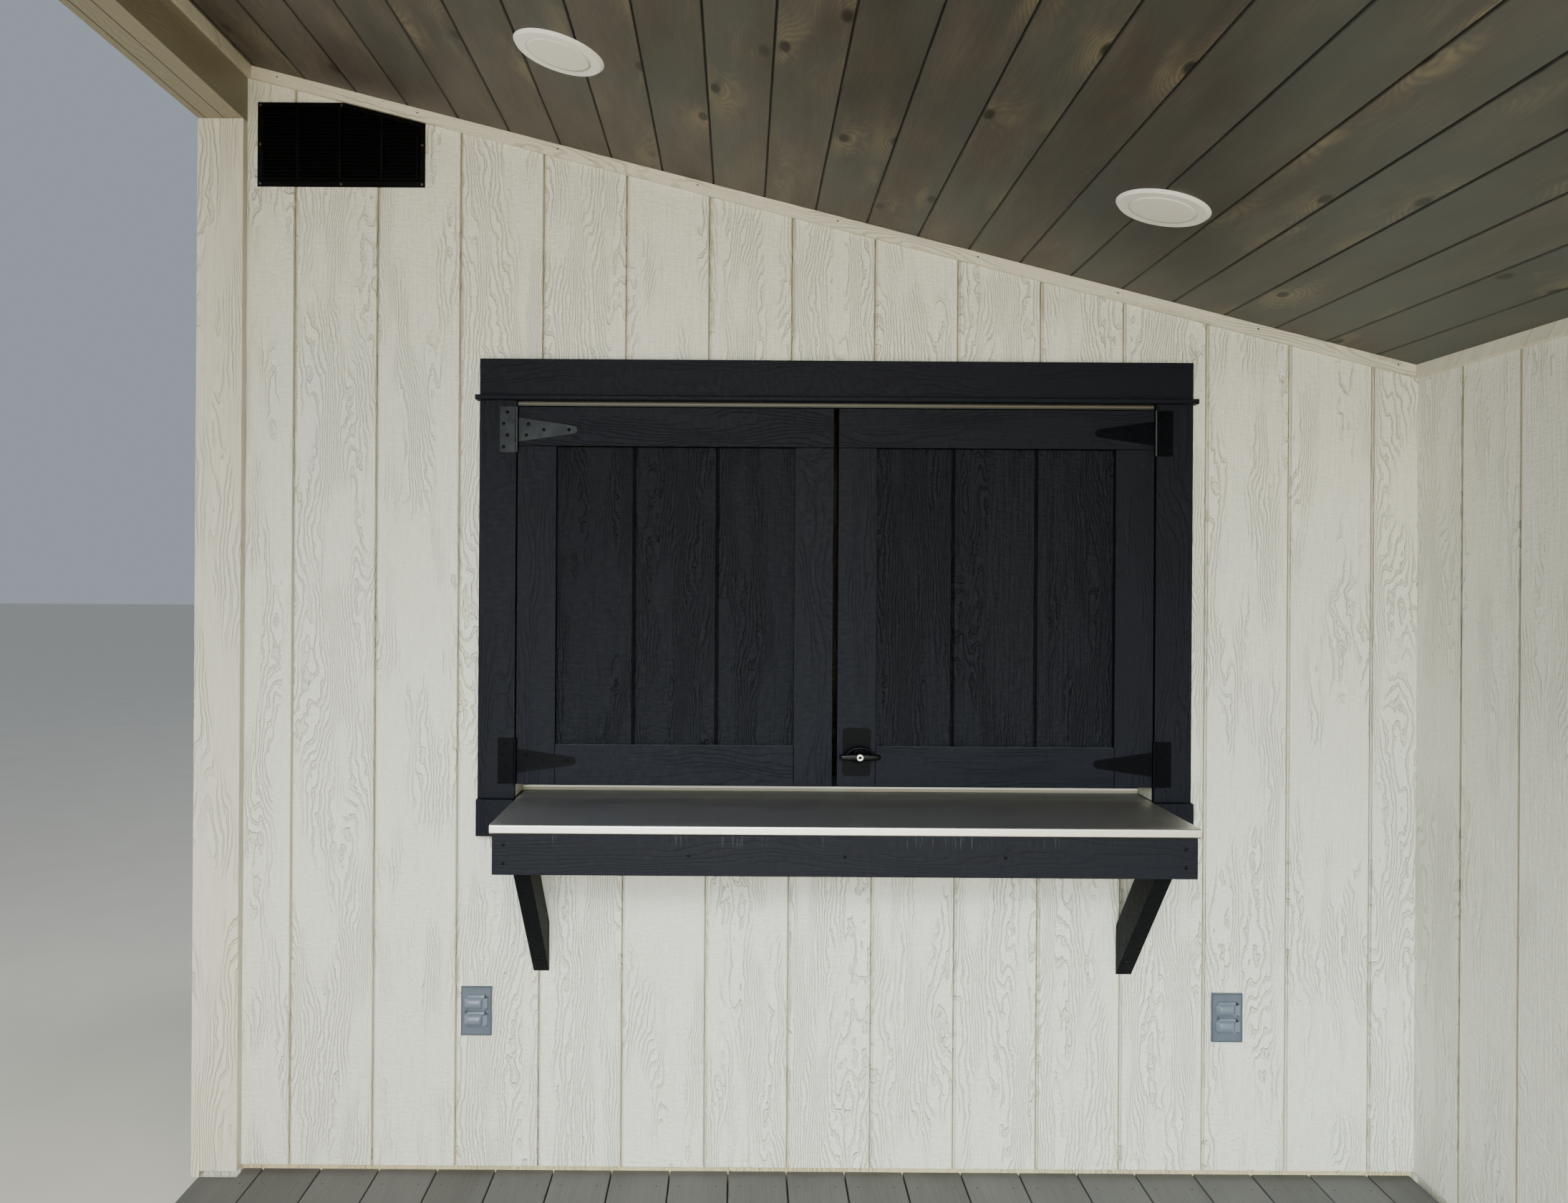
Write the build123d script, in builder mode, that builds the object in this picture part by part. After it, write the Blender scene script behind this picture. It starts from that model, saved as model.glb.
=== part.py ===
"""A small pool house: an open porch in front of a closed room, with a shuttered serving hatch.

All sizes are in millimetres. The origin is on the ground at the middle of the building.
X runs from the open front to the low back wall, Y from the open end of the porch to the
closed room, and Z up.
"""

import os
from math import atan, cos, degrees, sin

from build123d import *

os.makedirs("parts", exist_ok=True)

# Building
building_depth = 3094.0
porch_length = 3048.0
room_length = 2440.0
wall_thickness = 111.0
siding_thickness = 11.0
trim_thickness = 19.0
seat_gap = 0.3
end_gap = 0.6
cut_past = 1.0

jamb_proud = 25.0
jamb_foot = 10.0
edge_trim_foot = -5.0
corner_board_width = 89.0

# Floor
skid_height = 89.0
skid_width = 89.0
skid_count = 3
joist_depth = 140.0
joist_width = 38.0
joist_pitch = 406.4
deck_board_width = 139.7
deck_board_thickness = 25.0
deck_board_gap = 3.1
deck_edge_radius = 3.0
deck_first_board = 142.6
deck_notch = 9.0
floor_sheet = 18.0
wall_lift = 15.0
siding_foot_clearance = 15.0

# Roof and ceiling
roof_slope = 0.25
ceiling_at_middle = 2345.5
ceiling_board_thickness = 18.0
ceiling_board_pitch = 124.7
ceiling_first_joint = -542.2
ceiling_joint_width = 7.0
ceiling_joint_depth = 3.5
ceiling_trim_height = 30.0
ceiling_trim_thickness = 12.0
rafter_depth = 140.0
rafter_width = 38.0
roof_sheet = 15.0
eaves_overhang = 200.0
end_overhang = 150.0
fascia_height = 184.0
metal_thickness = 2.0
metal_rib_pitch = 229.0
metal_rib_height = 19.0
metal_rib_foot = 44.0
metal_rib_top = 19.0
metal_overhang = 25.0
header_depth = 137.0

# Siding
groove_pitch = 203.2
groove_width = 9.5
groove_depth = 4.0
hatch_wall_first_groove = 119.3
back_wall_first_groove = 178.0

# Serving hatch
hatch_centre = 9.7
hatch_width = 1558.2
casing_width = 89.0
casing_thickness = 19.0
casing_foot = 919.0
ledge_underside = 1887.5
ledge_thickness = 12.0
ledge_reach = 15.0
ledge_end_reach = 9.0
ledge_chamfer = 2.0
head_casing_height = 89.0
plinth_height = 89.0
plinth_thickness = 38.0
lining_thickness = 19.0
lining_head = 1877.0
sill_bar_height = 40.0
sill_bar_thickness = 19.0

# Shutters
shutter_gap = 13.0
shutter_side_gap = 5.0
shutter_foot = 954.0
shutter_top = 1871.6
stile_width = 93.0
top_rail_height = 95.0
bottom_rail_height = 95.0
frame_thickness = 19.0
panel_thickness = 12.0
shutter_groove_pitch = 203.2

# T hinges
knuckle_diameter = 8.4
pin_diameter = 5.0
pin_clearance = 0.1
hinge_height = 111.0
hinge_leaf = 42.0
hinge_plate = 2.5
strap_length = 146.0
strap_root = 56.0
strap_neck = 12.0
strap_tip = 20.0
hinge_top_inset = 55.5
hinge_bottom_inset = 56.5
knuckle_play = 0.8

# Latch
latch_from_edge = 52.4
latch_height = 1029.0
latch_plate_width = 68.0
latch_plate_height = 115.0
latch_plate_thickness = 4.0
latch_plate_corner = 9.0
latch_plate_rise = 8.0
latch_plate_shift = -5.0
latch_boss_diameter = 38.0
latch_boss_height = 12.0
latch_boss_draft = 12.0
latch_neck_diameter = 16.0
latch_stand_off = 26.0
latch_bar_length = 101.0
latch_bar_width = 17.0
latch_bar_depth = 14.0
latch_bar_round = 3.0
latch_lock_ring = 3.0
lock_diameter = 18.5
lock_proud = 3.0

# Counter
counter_height = 919.0
counter_depth = 325.0
counter_inner_depth = 102.0
counter_end_gap = 4.6
counter_thickness = 21.0
counter_edge_radius = 4.0
apron_height = 89.0
apron_thickness = 38.0
apron_set_back = 5.0
apron_end_inset = 5.0
brace_width = 38.0
brace_inset = 43.0
brace_foot = 494.0
brace_contact = 118.0

# Fittings on the hatch wall
vent_from_corner = 231.0
vent_below_ceiling = 134.75
vent_width = 410.0
vent_height = 206.0
vent_depth = 16.0
vent_flange = 14.0
vent_flange_thickness = 3.0
vent_slat_pitch = 9.3
vent_slat_thickness = 2.0
vent_slat_depth = 12.0
vent_slat_fall = 6.0
vent_rib_width = 6.0
vent_rib_count = 3
outlet_left_offset = 91.1
outlet_right_offset = 186.2
outlet_left_z = 396.0
outlet_right_z = 391.0
outlet_width = 75.0
outlet_height = 119.0
outlet_plate_thickness = 6.0
lid_width = 49.0
lid_height = 37.6
lid_depth = 12.0
lid_corner = 9.0
lid_shift = -4.5
lid_spacing = 40.4
lid_pin_diameter = 3.0
lid_barrel_diameter = 6.0
lid_barrel_inset = 7.0
lid_pin_from_centre = 26.0
lid_ear_thickness = 3.0
lid_draft = 20.0
light_spacing = 1191.0
light_from_wall = 569.0
light_diameter = 183.0
light_rim_drop = 6.0
light_can_diameter = 152.0
light_can_height = 45.0
light_hole_clearance = 1.0
light_rafter_clearance = 5.0

# Room door
door_width = 813.0
door_height = 2032.0
door_thickness = 44.0
door_gap = 4.0
door_from_hatch_wall = 900.0
door_rail = 115.0
door_panel_recess = 8.0
door_casing_width = 89.0
door_set_back = 20.0
door_stop_width = 35.0
door_stop_depth = 12.0

# Worked out
half_depth = building_depth / 2
inner_half = half_depth - wall_thickness
frame_half = half_depth - trim_thickness
building_length = porch_length + room_length
near_y = -building_length / 2
far_y = building_length / 2
hatch_y = near_y + porch_length
hatch_back_y = hatch_y + wall_thickness
frame_near_y = near_y + trim_thickness
frame_far_y = far_y - trim_thickness
floor_top = skid_height + joist_depth
siding_hang = skid_height + siding_foot_clearance
deck_top = floor_top + deck_board_thickness
pitch_angle = atan(roof_slope)
upright = 1 / cos(pitch_angle)
eaves_x = half_depth + eaves_overhang
rake_near_y = near_y - end_overhang
rake_far_y = far_y + end_overhang
hatch_left = hatch_centre - hatch_width / 2
hatch_right = hatch_centre + hatch_width / 2
casing_face_y = hatch_y - casing_thickness
siding_foot = deck_top + wall_lift
post_far_y = near_y + wall_thickness


def ceiling_z(x):
    """Height of the porch ceiling's underside at a distance x from the middle."""
    return deck_top + ceiling_at_middle - roof_slope * x


def rafter_foot_z(x):
    """Height of the rafters' underside, which lies on the ceiling boards."""
    return ceiling_z(x) + ceiling_board_thickness * upright


def rafter_top_z(x):
    """Height of the rafters' top edge."""
    return rafter_foot_z(x) + rafter_depth * upright


def roof_sheet_top_z(x):
    """Height of the roof sheet's top face."""
    return rafter_top_z(x) + roof_sheet * upright


def block(x_from, x_to, y_from, y_to, z_from, z_to, mode=Mode.ADD):
    """A plain board between two corners."""
    with Locations((x_from, y_from, z_from)):
        Box(
            x_to - x_from,
            y_to - y_from,
            z_to - z_from,
            align=(Align.MIN, Align.MIN, Align.MIN),
            mode=mode,
        )


def prism(outline, y_from, y_to, mode=Mode.ADD):
    """An outline in X and Z, carried along Y."""
    with BuildSketch(Plane.XZ.offset(-y_to)) as profile:
        with BuildLine():
            Polyline(*outline, close=True)
        make_face()
    extrude(profile.sketch, amount=y_to - y_from, mode=mode)


def cross_prism(outline, x_from, x_to, mode=Mode.ADD):
    """An outline in Y and Z, carried along X."""
    with BuildSketch(Plane.YZ.offset(x_from)) as profile:
        with BuildLine():
            Polyline(*outline, close=True)
        make_face()
    extrude(profile.sketch, amount=x_to - x_from, mode=mode)


def sloped_slab(x_from, x_to, low, high, y_from, y_to, mode=Mode.ADD):
    """A slab whose underside and top follow two of the roof's planes."""
    outline = [
        (x_from, low(x_from)),
        (x_to, low(x_to)),
        (x_to, high(x_to)),
        (x_from, high(x_from)),
    ]
    prism(outline, y_from, y_to, mode)


def wall_across(x_from, x_to, y_from, y_to, foot, head=None):
    """A stretch of wall that runs along X, under the rafters or up to a level head."""
    head_from = rafter_foot_z(x_from) if head is None else head
    head_to = rafter_foot_z(x_to) if head is None else head
    outline = [(x_from, foot), (x_to, foot), (x_to, head_to), (x_from, head_from)]
    prism(outline, y_from, y_to)


def wall_along(turn, y_from, y_to, foot, hang):
    """A stretch of wall that runs along Y; its outer face hangs down over the floor's rim."""
    outer_x = turn * half_depth
    frame_x = turn * frame_half
    inner_x = turn * inner_half
    outline = [(inner_x, foot)]
    if hang < foot:
        outline.append((frame_x, foot))
        outline.append((frame_x, hang))
    outline.append((outer_x, hang))
    outline.append((outer_x, rafter_foot_z(outer_x)))
    outline.append((inner_x, rafter_foot_z(inner_x)))
    prism(outline, y_from, y_to)


def grooves_across(first, x_from, x_to, face_y, side, foot):
    """Cuts the siding's upright grooves into a wall that runs along X."""
    y_near = face_y if side > 0 else face_y - groove_depth
    count = int((x_to - first) // groove_pitch) + 1
    places = [first + groove_pitch * i for i in range(count)]
    for x in [x for x in places if x - groove_width > x_from and x + groove_width < x_to]:
        block(
            x - groove_width / 2,
            x + groove_width / 2,
            y_near,
            y_near + groove_depth,
            foot,
            rafter_top_z(-half_depth),
            mode=Mode.SUBTRACT,
        )


def grooves_along(first, y_from, y_to, face_x, side, foot):
    """Cuts the siding's upright grooves into a wall that runs along Y."""
    x_near = face_x if side > 0 else face_x - groove_depth
    count = int((y_to - first) // groove_pitch) + 1
    places = [first + groove_pitch * i for i in range(count)]
    for y in [y for y in places if y - groove_width > y_from and y + groove_width < y_to]:
        block(
            x_near,
            x_near + groove_depth,
            y - groove_width / 2,
            y + groove_width / 2,
            foot,
            rafter_top_z(-half_depth),
            mode=Mode.SUBTRACT,
        )


def save(piece, label):
    """Labels a finished piece and writes it."""
    piece.part.label = label
    export_step(piece.part, f"parts/{label}.step")


# Skids that the building stands on
with BuildPart() as skids:
    skid_span = 2 * frame_half - skid_width
    for i in range(skid_count):
        skid_x = -skid_span / 2 + skid_span * i / (skid_count - 1)
        left = skid_x - skid_width / 2
        block(left, left + skid_width, frame_near_y, frame_far_y, 0, skid_height)
save(skids, "skids")

# Floor frame: two rims along the building, with joists across between them
with BuildPart() as floor_frame:
    for x_from in (-frame_half, frame_half - joist_width):
        block(x_from, x_from + joist_width, frame_near_y, frame_far_y, skid_height, floor_top)
    joist_span = frame_far_y - frame_near_y - joist_width
    joist_spaces = round(joist_span / joist_pitch)
    for i in range(joist_spaces + 1):
        joist_y = frame_near_y + joist_span * i / joist_spaces
        block(
            -frame_half + joist_width + seat_gap,
            frame_half - joist_width - seat_gap,
            joist_y,
            joist_y + joist_width,
            skid_height,
            floor_top,
        )
save(floor_frame, "floor_frame")

# Porch deck boards with open gaps, the first one notched round the jamb
deck_pitch = deck_board_width + deck_board_gap
deck_far_y = hatch_y + siding_thickness - seat_gap
deck_near_y = near_y
with BuildPart() as deck_boards:
    board_left = deck_first_board - frame_half - deck_board_width - deck_board_gap / 2
    first_left = -frame_half + seat_gap
    while board_left < inner_half - deck_board_gap:
        left = max(board_left, first_left)
        right = min(board_left + deck_board_width, inner_half - deck_board_gap)
        with BuildSketch(Plane.XZ.offset(-deck_far_y)) as board:
            with Locations(((left + right) / 2, floor_top + deck_board_thickness / 2)):
                Rectangle(right - left, deck_board_thickness)
            top_corners = board.vertices().group_by(Axis.Z)[-1]
            fillet(top_corners, radius=min(deck_edge_radius, (right - left) / 3))
        extrude(board.sketch, amount=deck_far_y - deck_near_y)
        board_left += deck_pitch
    block(
        -half_depth,
        -inner_half + deck_board_gap,
        hatch_y - jamb_proud - deck_notch,
        deck_far_y + cut_past,
        floor_top - cut_past,
        deck_top + cut_past,
        mode=Mode.SUBTRACT,
    )
    block(
        -half_depth,
        -inner_half + deck_board_gap,
        near_y - cut_past,
        post_far_y + deck_board_gap,
        floor_top - cut_past,
        deck_top + cut_past,
        mode=Mode.SUBTRACT,
    )
save(deck_boards, "deck_boards")

# Room floor sheet
with BuildPart() as room_floor:
    block(-inner_half, inner_half, hatch_back_y, far_y - wall_thickness, floor_top, floor_top + floor_sheet)
save(room_floor, "room_floor")

# Hatch wall, in four pieces round the opening
wall_foot = floor_top
opening_left = hatch_left - lining_thickness
opening_right = hatch_right + lining_thickness
opening_foot = deck_top + counter_height - counter_thickness
opening_head = deck_top + lining_head + lining_thickness
groove_origin = -inner_half + hatch_wall_first_groove


def hatch_wall_piece(x_from, x_to, foot, head=None):
    """One stretch of the hatch wall, with its siding held clear of the deck."""
    wall_across(x_from, x_to, hatch_y, hatch_back_y, foot, head)
    grooves_across(groove_origin, x_from, x_to, hatch_y, 1, foot)
    if foot < siding_foot:
        block(x_from, x_to, hatch_y, hatch_y + siding_thickness, foot, siding_foot, mode=Mode.SUBTRACT)


with BuildPart() as hatch_wall_left:
    hatch_wall_piece(-inner_half, opening_left, wall_foot)
save(hatch_wall_left, "hatch_wall_left")

with BuildPart() as hatch_wall_right:
    hatch_wall_piece(opening_right, inner_half, wall_foot)
save(hatch_wall_right, "hatch_wall_right")

with BuildPart() as hatch_wall_under:
    hatch_wall_piece(opening_left, opening_right, wall_foot, opening_foot)
save(hatch_wall_under, "hatch_wall_under")

with BuildPart() as hatch_wall_over:
    hatch_wall_piece(opening_left, opening_right, opening_head)
save(hatch_wall_over, "hatch_wall_over")

# Back wall, from the porch's open end to the far corner
with BuildPart() as back_wall:
    wall_along(1, near_y, far_y, wall_foot, siding_hang)
    porch_groove = hatch_y - back_wall_first_groove
    porch_grooves = int((porch_groove - near_y) // groove_pitch)
    first_back_groove = porch_groove - porch_grooves * groove_pitch
    grooves_along(first_back_groove, near_y, hatch_y, inner_half, 1, wall_foot)
    grooves_along(first_back_groove, near_y, far_y, half_depth, -1, siding_hang)
    block(
        inner_half,
        inner_half + siding_thickness,
        near_y,
        hatch_y,
        wall_foot,
        siding_foot,
        mode=Mode.SUBTRACT,
    )
save(back_wall, "back_wall")

# Front wall of the room, split round the door
door_near_y = hatch_y + door_from_hatch_wall
door_far_y = door_near_y + door_width
frame_gap = trim_thickness + door_gap
doorway_near_y = door_near_y - frame_gap
doorway_far_y = door_far_y + frame_gap
door_foot = floor_top + floor_sheet
doorway_head = door_foot + door_height + frame_gap

with BuildPart() as front_wall_near:
    wall_along(-1, hatch_y, doorway_near_y, wall_foot, siding_hang)
    grooves_along(hatch_y + back_wall_first_groove, hatch_y, doorway_near_y, -half_depth, 1, siding_hang)
    block(
        -half_depth,
        -frame_half + seat_gap,
        hatch_y,
        hatch_y + corner_board_width,
        siding_hang,
        rafter_top_z(-half_depth),
        mode=Mode.SUBTRACT,
    )
save(front_wall_near, "front_wall_near")

with BuildPart() as front_wall_far:
    wall_along(-1, doorway_far_y, far_y, wall_foot, siding_hang)
    grooves_along(hatch_y + back_wall_first_groove, doorway_far_y, far_y, -half_depth, 1, siding_hang)
save(front_wall_far, "front_wall_far")

with BuildPart() as front_wall_over_door:
    wall_along(-1, doorway_near_y, doorway_far_y, doorway_head, doorway_head)
    grooves_along(
        hatch_y + back_wall_first_groove, doorway_near_y, doorway_far_y, -half_depth, 1, doorway_head
    )
save(front_wall_over_door, "front_wall_over_door")

# End wall of the room
with BuildPart() as end_wall:
    wall_across(-inner_half, inner_half, far_y - wall_thickness, frame_far_y, wall_foot)
    wall_across(-inner_half, inner_half, frame_far_y, far_y, siding_hang)
    grooves_across(groove_origin, -inner_half, inner_half, far_y, -1, siding_hang)
save(end_wall, "end_wall")

# Jamb at the open end of the hatch wall: a board on its face and a trim over the edge
jamb_near_y = hatch_y - jamb_proud
header_foot = ceiling_z(-inner_half) - header_depth
with BuildPart() as jamb_board:
    block(
        -frame_half + seat_gap,
        -inner_half,
        jamb_near_y,
        hatch_y - seat_gap,
        deck_top + jamb_foot,
        header_foot - end_gap,
    )
save(jamb_board, "jamb_board")

with BuildPart() as jamb_edge_trim:
    block(
        -half_depth,
        -frame_half,
        jamb_near_y,
        hatch_y - end_gap,
        deck_top + edge_trim_foot,
        header_foot - end_gap,
    )
    sloped_slab(
        -half_depth,
        -frame_half,
        lambda x: siding_hang,
        rafter_foot_z,
        hatch_y - end_gap,
        hatch_y + corner_board_width - end_gap,
    )
save(jamb_edge_trim, "jamb_edge_trim")

# Boards on the building's outside corners
with BuildPart() as corner_boards:
    for corner_y, turn in ((near_y, 1), (far_y, -1)):
        side_from = min(corner_y, corner_y + turn * corner_board_width)
        block(
            half_depth + seat_gap,
            half_depth + trim_thickness,
            side_from,
            side_from + corner_board_width,
            siding_hang,
            rafter_foot_z(half_depth + trim_thickness) - end_gap,
        )
    far_face = far_y + seat_gap
    for edge_x, turn in ((half_depth, -1), (-half_depth, 1)):
        face_from = min(edge_x, edge_x + turn * corner_board_width)
        wall_outline = [
            (face_from, siding_hang),
            (face_from + corner_board_width, siding_hang),
            (face_from + corner_board_width, rafter_foot_z(face_from + corner_board_width) - end_gap),
            (face_from, rafter_foot_z(face_from) - end_gap),
        ]
        prism(wall_outline, far_face, far_y + trim_thickness)
save(corner_boards, "corner_boards")

# Front corner post of the porch
with BuildPart() as front_post:
    post_outline = [
        (-frame_half, floor_top),
        (-inner_half, floor_top),
        (-inner_half, header_foot - end_gap),
        (-half_depth, header_foot - end_gap),
        (-half_depth, deck_top + edge_trim_foot),
        (-frame_half, deck_top + edge_trim_foot),
    ]
    prism(post_outline, near_y, post_far_y)
save(front_post, "front_post")

# Front header over the porch's open side
with BuildPart() as front_header:
    sloped_slab(-half_depth, -inner_half, lambda x: header_foot, rafter_foot_z, near_y, hatch_y - end_gap)
save(front_header, "front_header")

# Sloping header over the porch's open end
with BuildPart() as end_header:
    sloped_slab(
        -inner_half + end_gap,
        inner_half - end_gap,
        lambda x: ceiling_z(x) - header_depth,
        rafter_foot_z,
        near_y,
        post_far_y,
    )
save(end_header, "end_header")

# Porch ceiling of tongued boards with a V at every joint
with BuildPart() as porch_ceiling:
    ceiling_from = -inner_half + end_gap
    ceiling_to = inner_half - end_gap
    joint_from = ceiling_first_joint
    while joint_from - ceiling_board_pitch > ceiling_from + ceiling_joint_width:
        joint_from -= ceiling_board_pitch
    underside = [(ceiling_from, ceiling_z(ceiling_from))]
    joint_x = joint_from
    while joint_x < ceiling_to - ceiling_joint_width:
        left = joint_x - ceiling_joint_width / 2
        right = joint_x + ceiling_joint_width / 2
        underside.append((left, ceiling_z(left)))
        underside.append((joint_x, ceiling_z(joint_x) + ceiling_joint_depth))
        underside.append((right, ceiling_z(right)))
        joint_x += ceiling_board_pitch
    underside.append((ceiling_to, ceiling_z(ceiling_to)))
    topside = [
        (ceiling_to, rafter_foot_z(ceiling_to) - seat_gap),
        (ceiling_from, rafter_foot_z(ceiling_from) - seat_gap),
    ]
    prism(underside + topside, post_far_y + end_gap, hatch_y - end_gap)
    for side in (-1, 1):
        light_x = hatch_centre + side * light_spacing / 2
        light_y = hatch_y - light_from_wall
        with Locations(Location((light_x, light_y, ceiling_z(light_x)), (0, degrees(pitch_angle), 0))):
            Cylinder(
                light_can_diameter / 2 + light_hole_clearance,
                2 * light_can_height,
                mode=Mode.SUBTRACT,
            )
save(porch_ceiling, "porch_ceiling")

# Trim strip round the edge of the porch ceiling
with BuildPart() as ceiling_trim:
    trim_from = -inner_half + ceiling_trim_thickness + end_gap
    trim_to = inner_half - ceiling_trim_thickness - end_gap
    for y_from, y_to in (
        (hatch_y - ceiling_trim_thickness, hatch_y - seat_gap),
        (post_far_y + seat_gap, post_far_y + ceiling_trim_thickness),
    ):
        sloped_slab(
            trim_from,
            trim_to,
            lambda x: ceiling_z(x) - ceiling_trim_height,
            lambda x: ceiling_z(x) - seat_gap,
            y_from,
            y_to,
        )
    for x_from, x_to in (
        (-inner_half + seat_gap, -inner_half + ceiling_trim_thickness),
        (inner_half - ceiling_trim_thickness, inner_half - seat_gap),
    ):
        sloped_slab(
            x_from,
            x_to,
            lambda x: ceiling_z(x) - ceiling_trim_height,
            lambda x: ceiling_z(x) - seat_gap,
            post_far_y + seat_gap,
            hatch_y - seat_gap,
        )
save(ceiling_trim, "ceiling_trim")

# Downlights: a flat ring and lens under the boards, and a shallow can above
with BuildPart() as downlights:
    for side in (-1, 1):
        light_x = hatch_centre + side * light_spacing / 2
        light_y = hatch_y - light_from_wall
        spot = Location((light_x, light_y, ceiling_z(light_x)), (0, degrees(pitch_angle), 0))
        with Locations(spot):
            Cylinder(
                light_can_diameter / 2,
                light_can_height,
                align=(Align.CENTER, Align.CENTER, Align.MIN),
            )
            with Locations((0, 0, -seat_gap)):
                Cone(
                    light_diameter / 2 - light_rim_drop,
                    light_diameter / 2,
                    light_rim_drop,
                    align=(Align.CENTER, Align.CENTER, Align.MAX),
                )
            Cylinder(
                light_can_diameter / 2,
                2 * seat_gap,
                align=(Align.CENTER, Align.CENTER, Align.CENTER),
            )
save(downlights, "downlights")

# Rafters, which run down the slope and carry the roof sheet
with BuildPart() as rafters:
    rafter_span = rake_far_y - rake_near_y - 2 * trim_thickness - rafter_width - 2 * seat_gap
    rafter_count = round(rafter_span / joist_pitch) + 1
    rafter_start = rake_near_y + trim_thickness + seat_gap
    for i in range(rafter_count):
        rafter_y = rafter_start + rafter_span * i / (rafter_count - 1)
        sloped_slab(
            -eaves_x + trim_thickness + seat_gap,
            eaves_x - trim_thickness - seat_gap,
            rafter_foot_z,
            rafter_top_z,
            rafter_y,
            rafter_y + rafter_width,
        )
    for side in (-1, 1):
        light_x = hatch_centre + side * light_spacing / 2
        light_y = hatch_y - light_from_wall
        with Locations(Location((light_x, light_y, ceiling_z(light_x)), (0, degrees(pitch_angle), 0))):
            Cylinder(
                light_can_diameter / 2 + light_rafter_clearance,
                light_can_height + light_rafter_clearance,
                align=(Align.CENTER, Align.CENTER, Align.MIN),
                mode=Mode.SUBTRACT,
            )
save(rafters, "rafters")

# Roof sheet under the metal
with BuildPart() as roof_sheathing:
    sloped_slab(
        -eaves_x + trim_thickness + seat_gap,
        eaves_x - trim_thickness - seat_gap,
        rafter_top_z,
        roof_sheet_top_z,
        rake_near_y + trim_thickness + seat_gap,
        rake_far_y - trim_thickness - seat_gap,
    )
save(roof_sheathing, "roof_sheathing")

# Ribbed metal roofing, one profile carried down the slope
with BuildPart() as metal_roof:
    high_x = -eaves_x - metal_overhang
    rib_lean = (metal_thickness + metal_rib_height) * sin(pitch_angle)
    run = (2 * (eaves_x + metal_overhang) - rib_lean) * upright
    high_point = (high_x, 0, roof_sheet_top_z(high_x) + seat_gap)
    down_slope = Plane(origin=high_point, x_dir=(0, 1, 0), z_dir=(cos(pitch_angle), 0, -sin(pitch_angle)))
    metal_near = rake_near_y - metal_overhang
    metal_far = rake_far_y + metal_overhang
    rib_count = int((metal_far - metal_near - metal_rib_foot) // metal_rib_pitch) + 1
    first_rib = (metal_near + metal_far) / 2 - (rib_count - 1) * metal_rib_pitch / 2
    top_line = [(metal_near, metal_thickness)]
    for i in range(rib_count):
        rib_y = first_rib + metal_rib_pitch * i
        top_line.append((rib_y - metal_rib_foot / 2, metal_thickness))
        top_line.append((rib_y - metal_rib_top / 2, metal_thickness + metal_rib_height))
        top_line.append((rib_y + metal_rib_top / 2, metal_thickness + metal_rib_height))
        top_line.append((rib_y + metal_rib_foot / 2, metal_thickness))
    top_line.append((metal_far, metal_thickness))
    with BuildSketch(down_slope) as sheet_profile:
        with BuildLine():
            Polyline(*top_line, (metal_far, 0), (metal_near, 0), close=True)
        make_face()
    extrude(sheet_profile.sketch, amount=run)
save(metal_roof, "metal_roof")

# Fascia boards round the roof's edge
with BuildPart() as fascia:
    for side in (-1, 1):
        inner_x = side * (eaves_x - trim_thickness)
        outer_x = side * eaves_x
        left, right = sorted((inner_x, outer_x))
        top_z = roof_sheet_top_z(right) - end_gap
        block(left, right, rake_near_y, rake_far_y, top_z - fascia_height, top_z)
    for y_from, y_to in (
        (rake_near_y, rake_near_y + trim_thickness),
        (rake_far_y - trim_thickness, rake_far_y),
    ):
        sloped_slab(
            -eaves_x + trim_thickness + end_gap,
            eaves_x - trim_thickness - end_gap,
            lambda x: roof_sheet_top_z(x) - end_gap - fascia_height,
            lambda x: roof_sheet_top_z(x) - end_gap,
            y_from,
            y_to,
        )
save(fascia, "fascia")

# Hatch casing: head board, drip ledge, two side boards and two blocks under them
casing_left = hatch_left - casing_width
casing_right = hatch_right + casing_width
casing_back_y = hatch_y - seat_gap
ledge_foot_z = deck_top + ledge_underside
ledge_top_z = ledge_foot_z + ledge_thickness
casing_foot_z = deck_top + casing_foot

with BuildPart() as head_casing:
    head_foot = ledge_top_z + seat_gap
    block(casing_left, casing_right, casing_face_y, casing_back_y, head_foot, head_foot + head_casing_height)
save(head_casing, "head_casing")

with BuildPart() as drip_ledge:
    ledge_face_y = casing_face_y - ledge_reach
    block(
        casing_left - ledge_end_reach,
        casing_right + ledge_end_reach,
        ledge_face_y,
        casing_back_y,
        ledge_foot_z,
        ledge_top_z,
    )
    front_edges = drip_ledge.edges().filter_by(Axis.X).group_by(Axis.Y)[0]
    chamfer(front_edges, length=ledge_chamfer)
save(drip_ledge, "drip_ledge")

with BuildPart() as side_casings:
    for x_from in (casing_left, hatch_right):
        block(
            x_from,
            x_from + casing_width,
            casing_face_y,
            casing_back_y,
            casing_foot_z,
            ledge_foot_z - seat_gap,
        )
save(side_casings, "side_casings")

with BuildPart() as plinth_blocks:
    plinth_face_y = hatch_y - plinth_thickness
    for x_from in (casing_left, hatch_right):
        block(
            x_from,
            x_from + casing_width,
            plinth_face_y,
            casing_back_y,
            casing_foot_z - plinth_height,
            casing_foot_z - seat_gap,
        )
save(plinth_blocks, "plinth_blocks")

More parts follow.
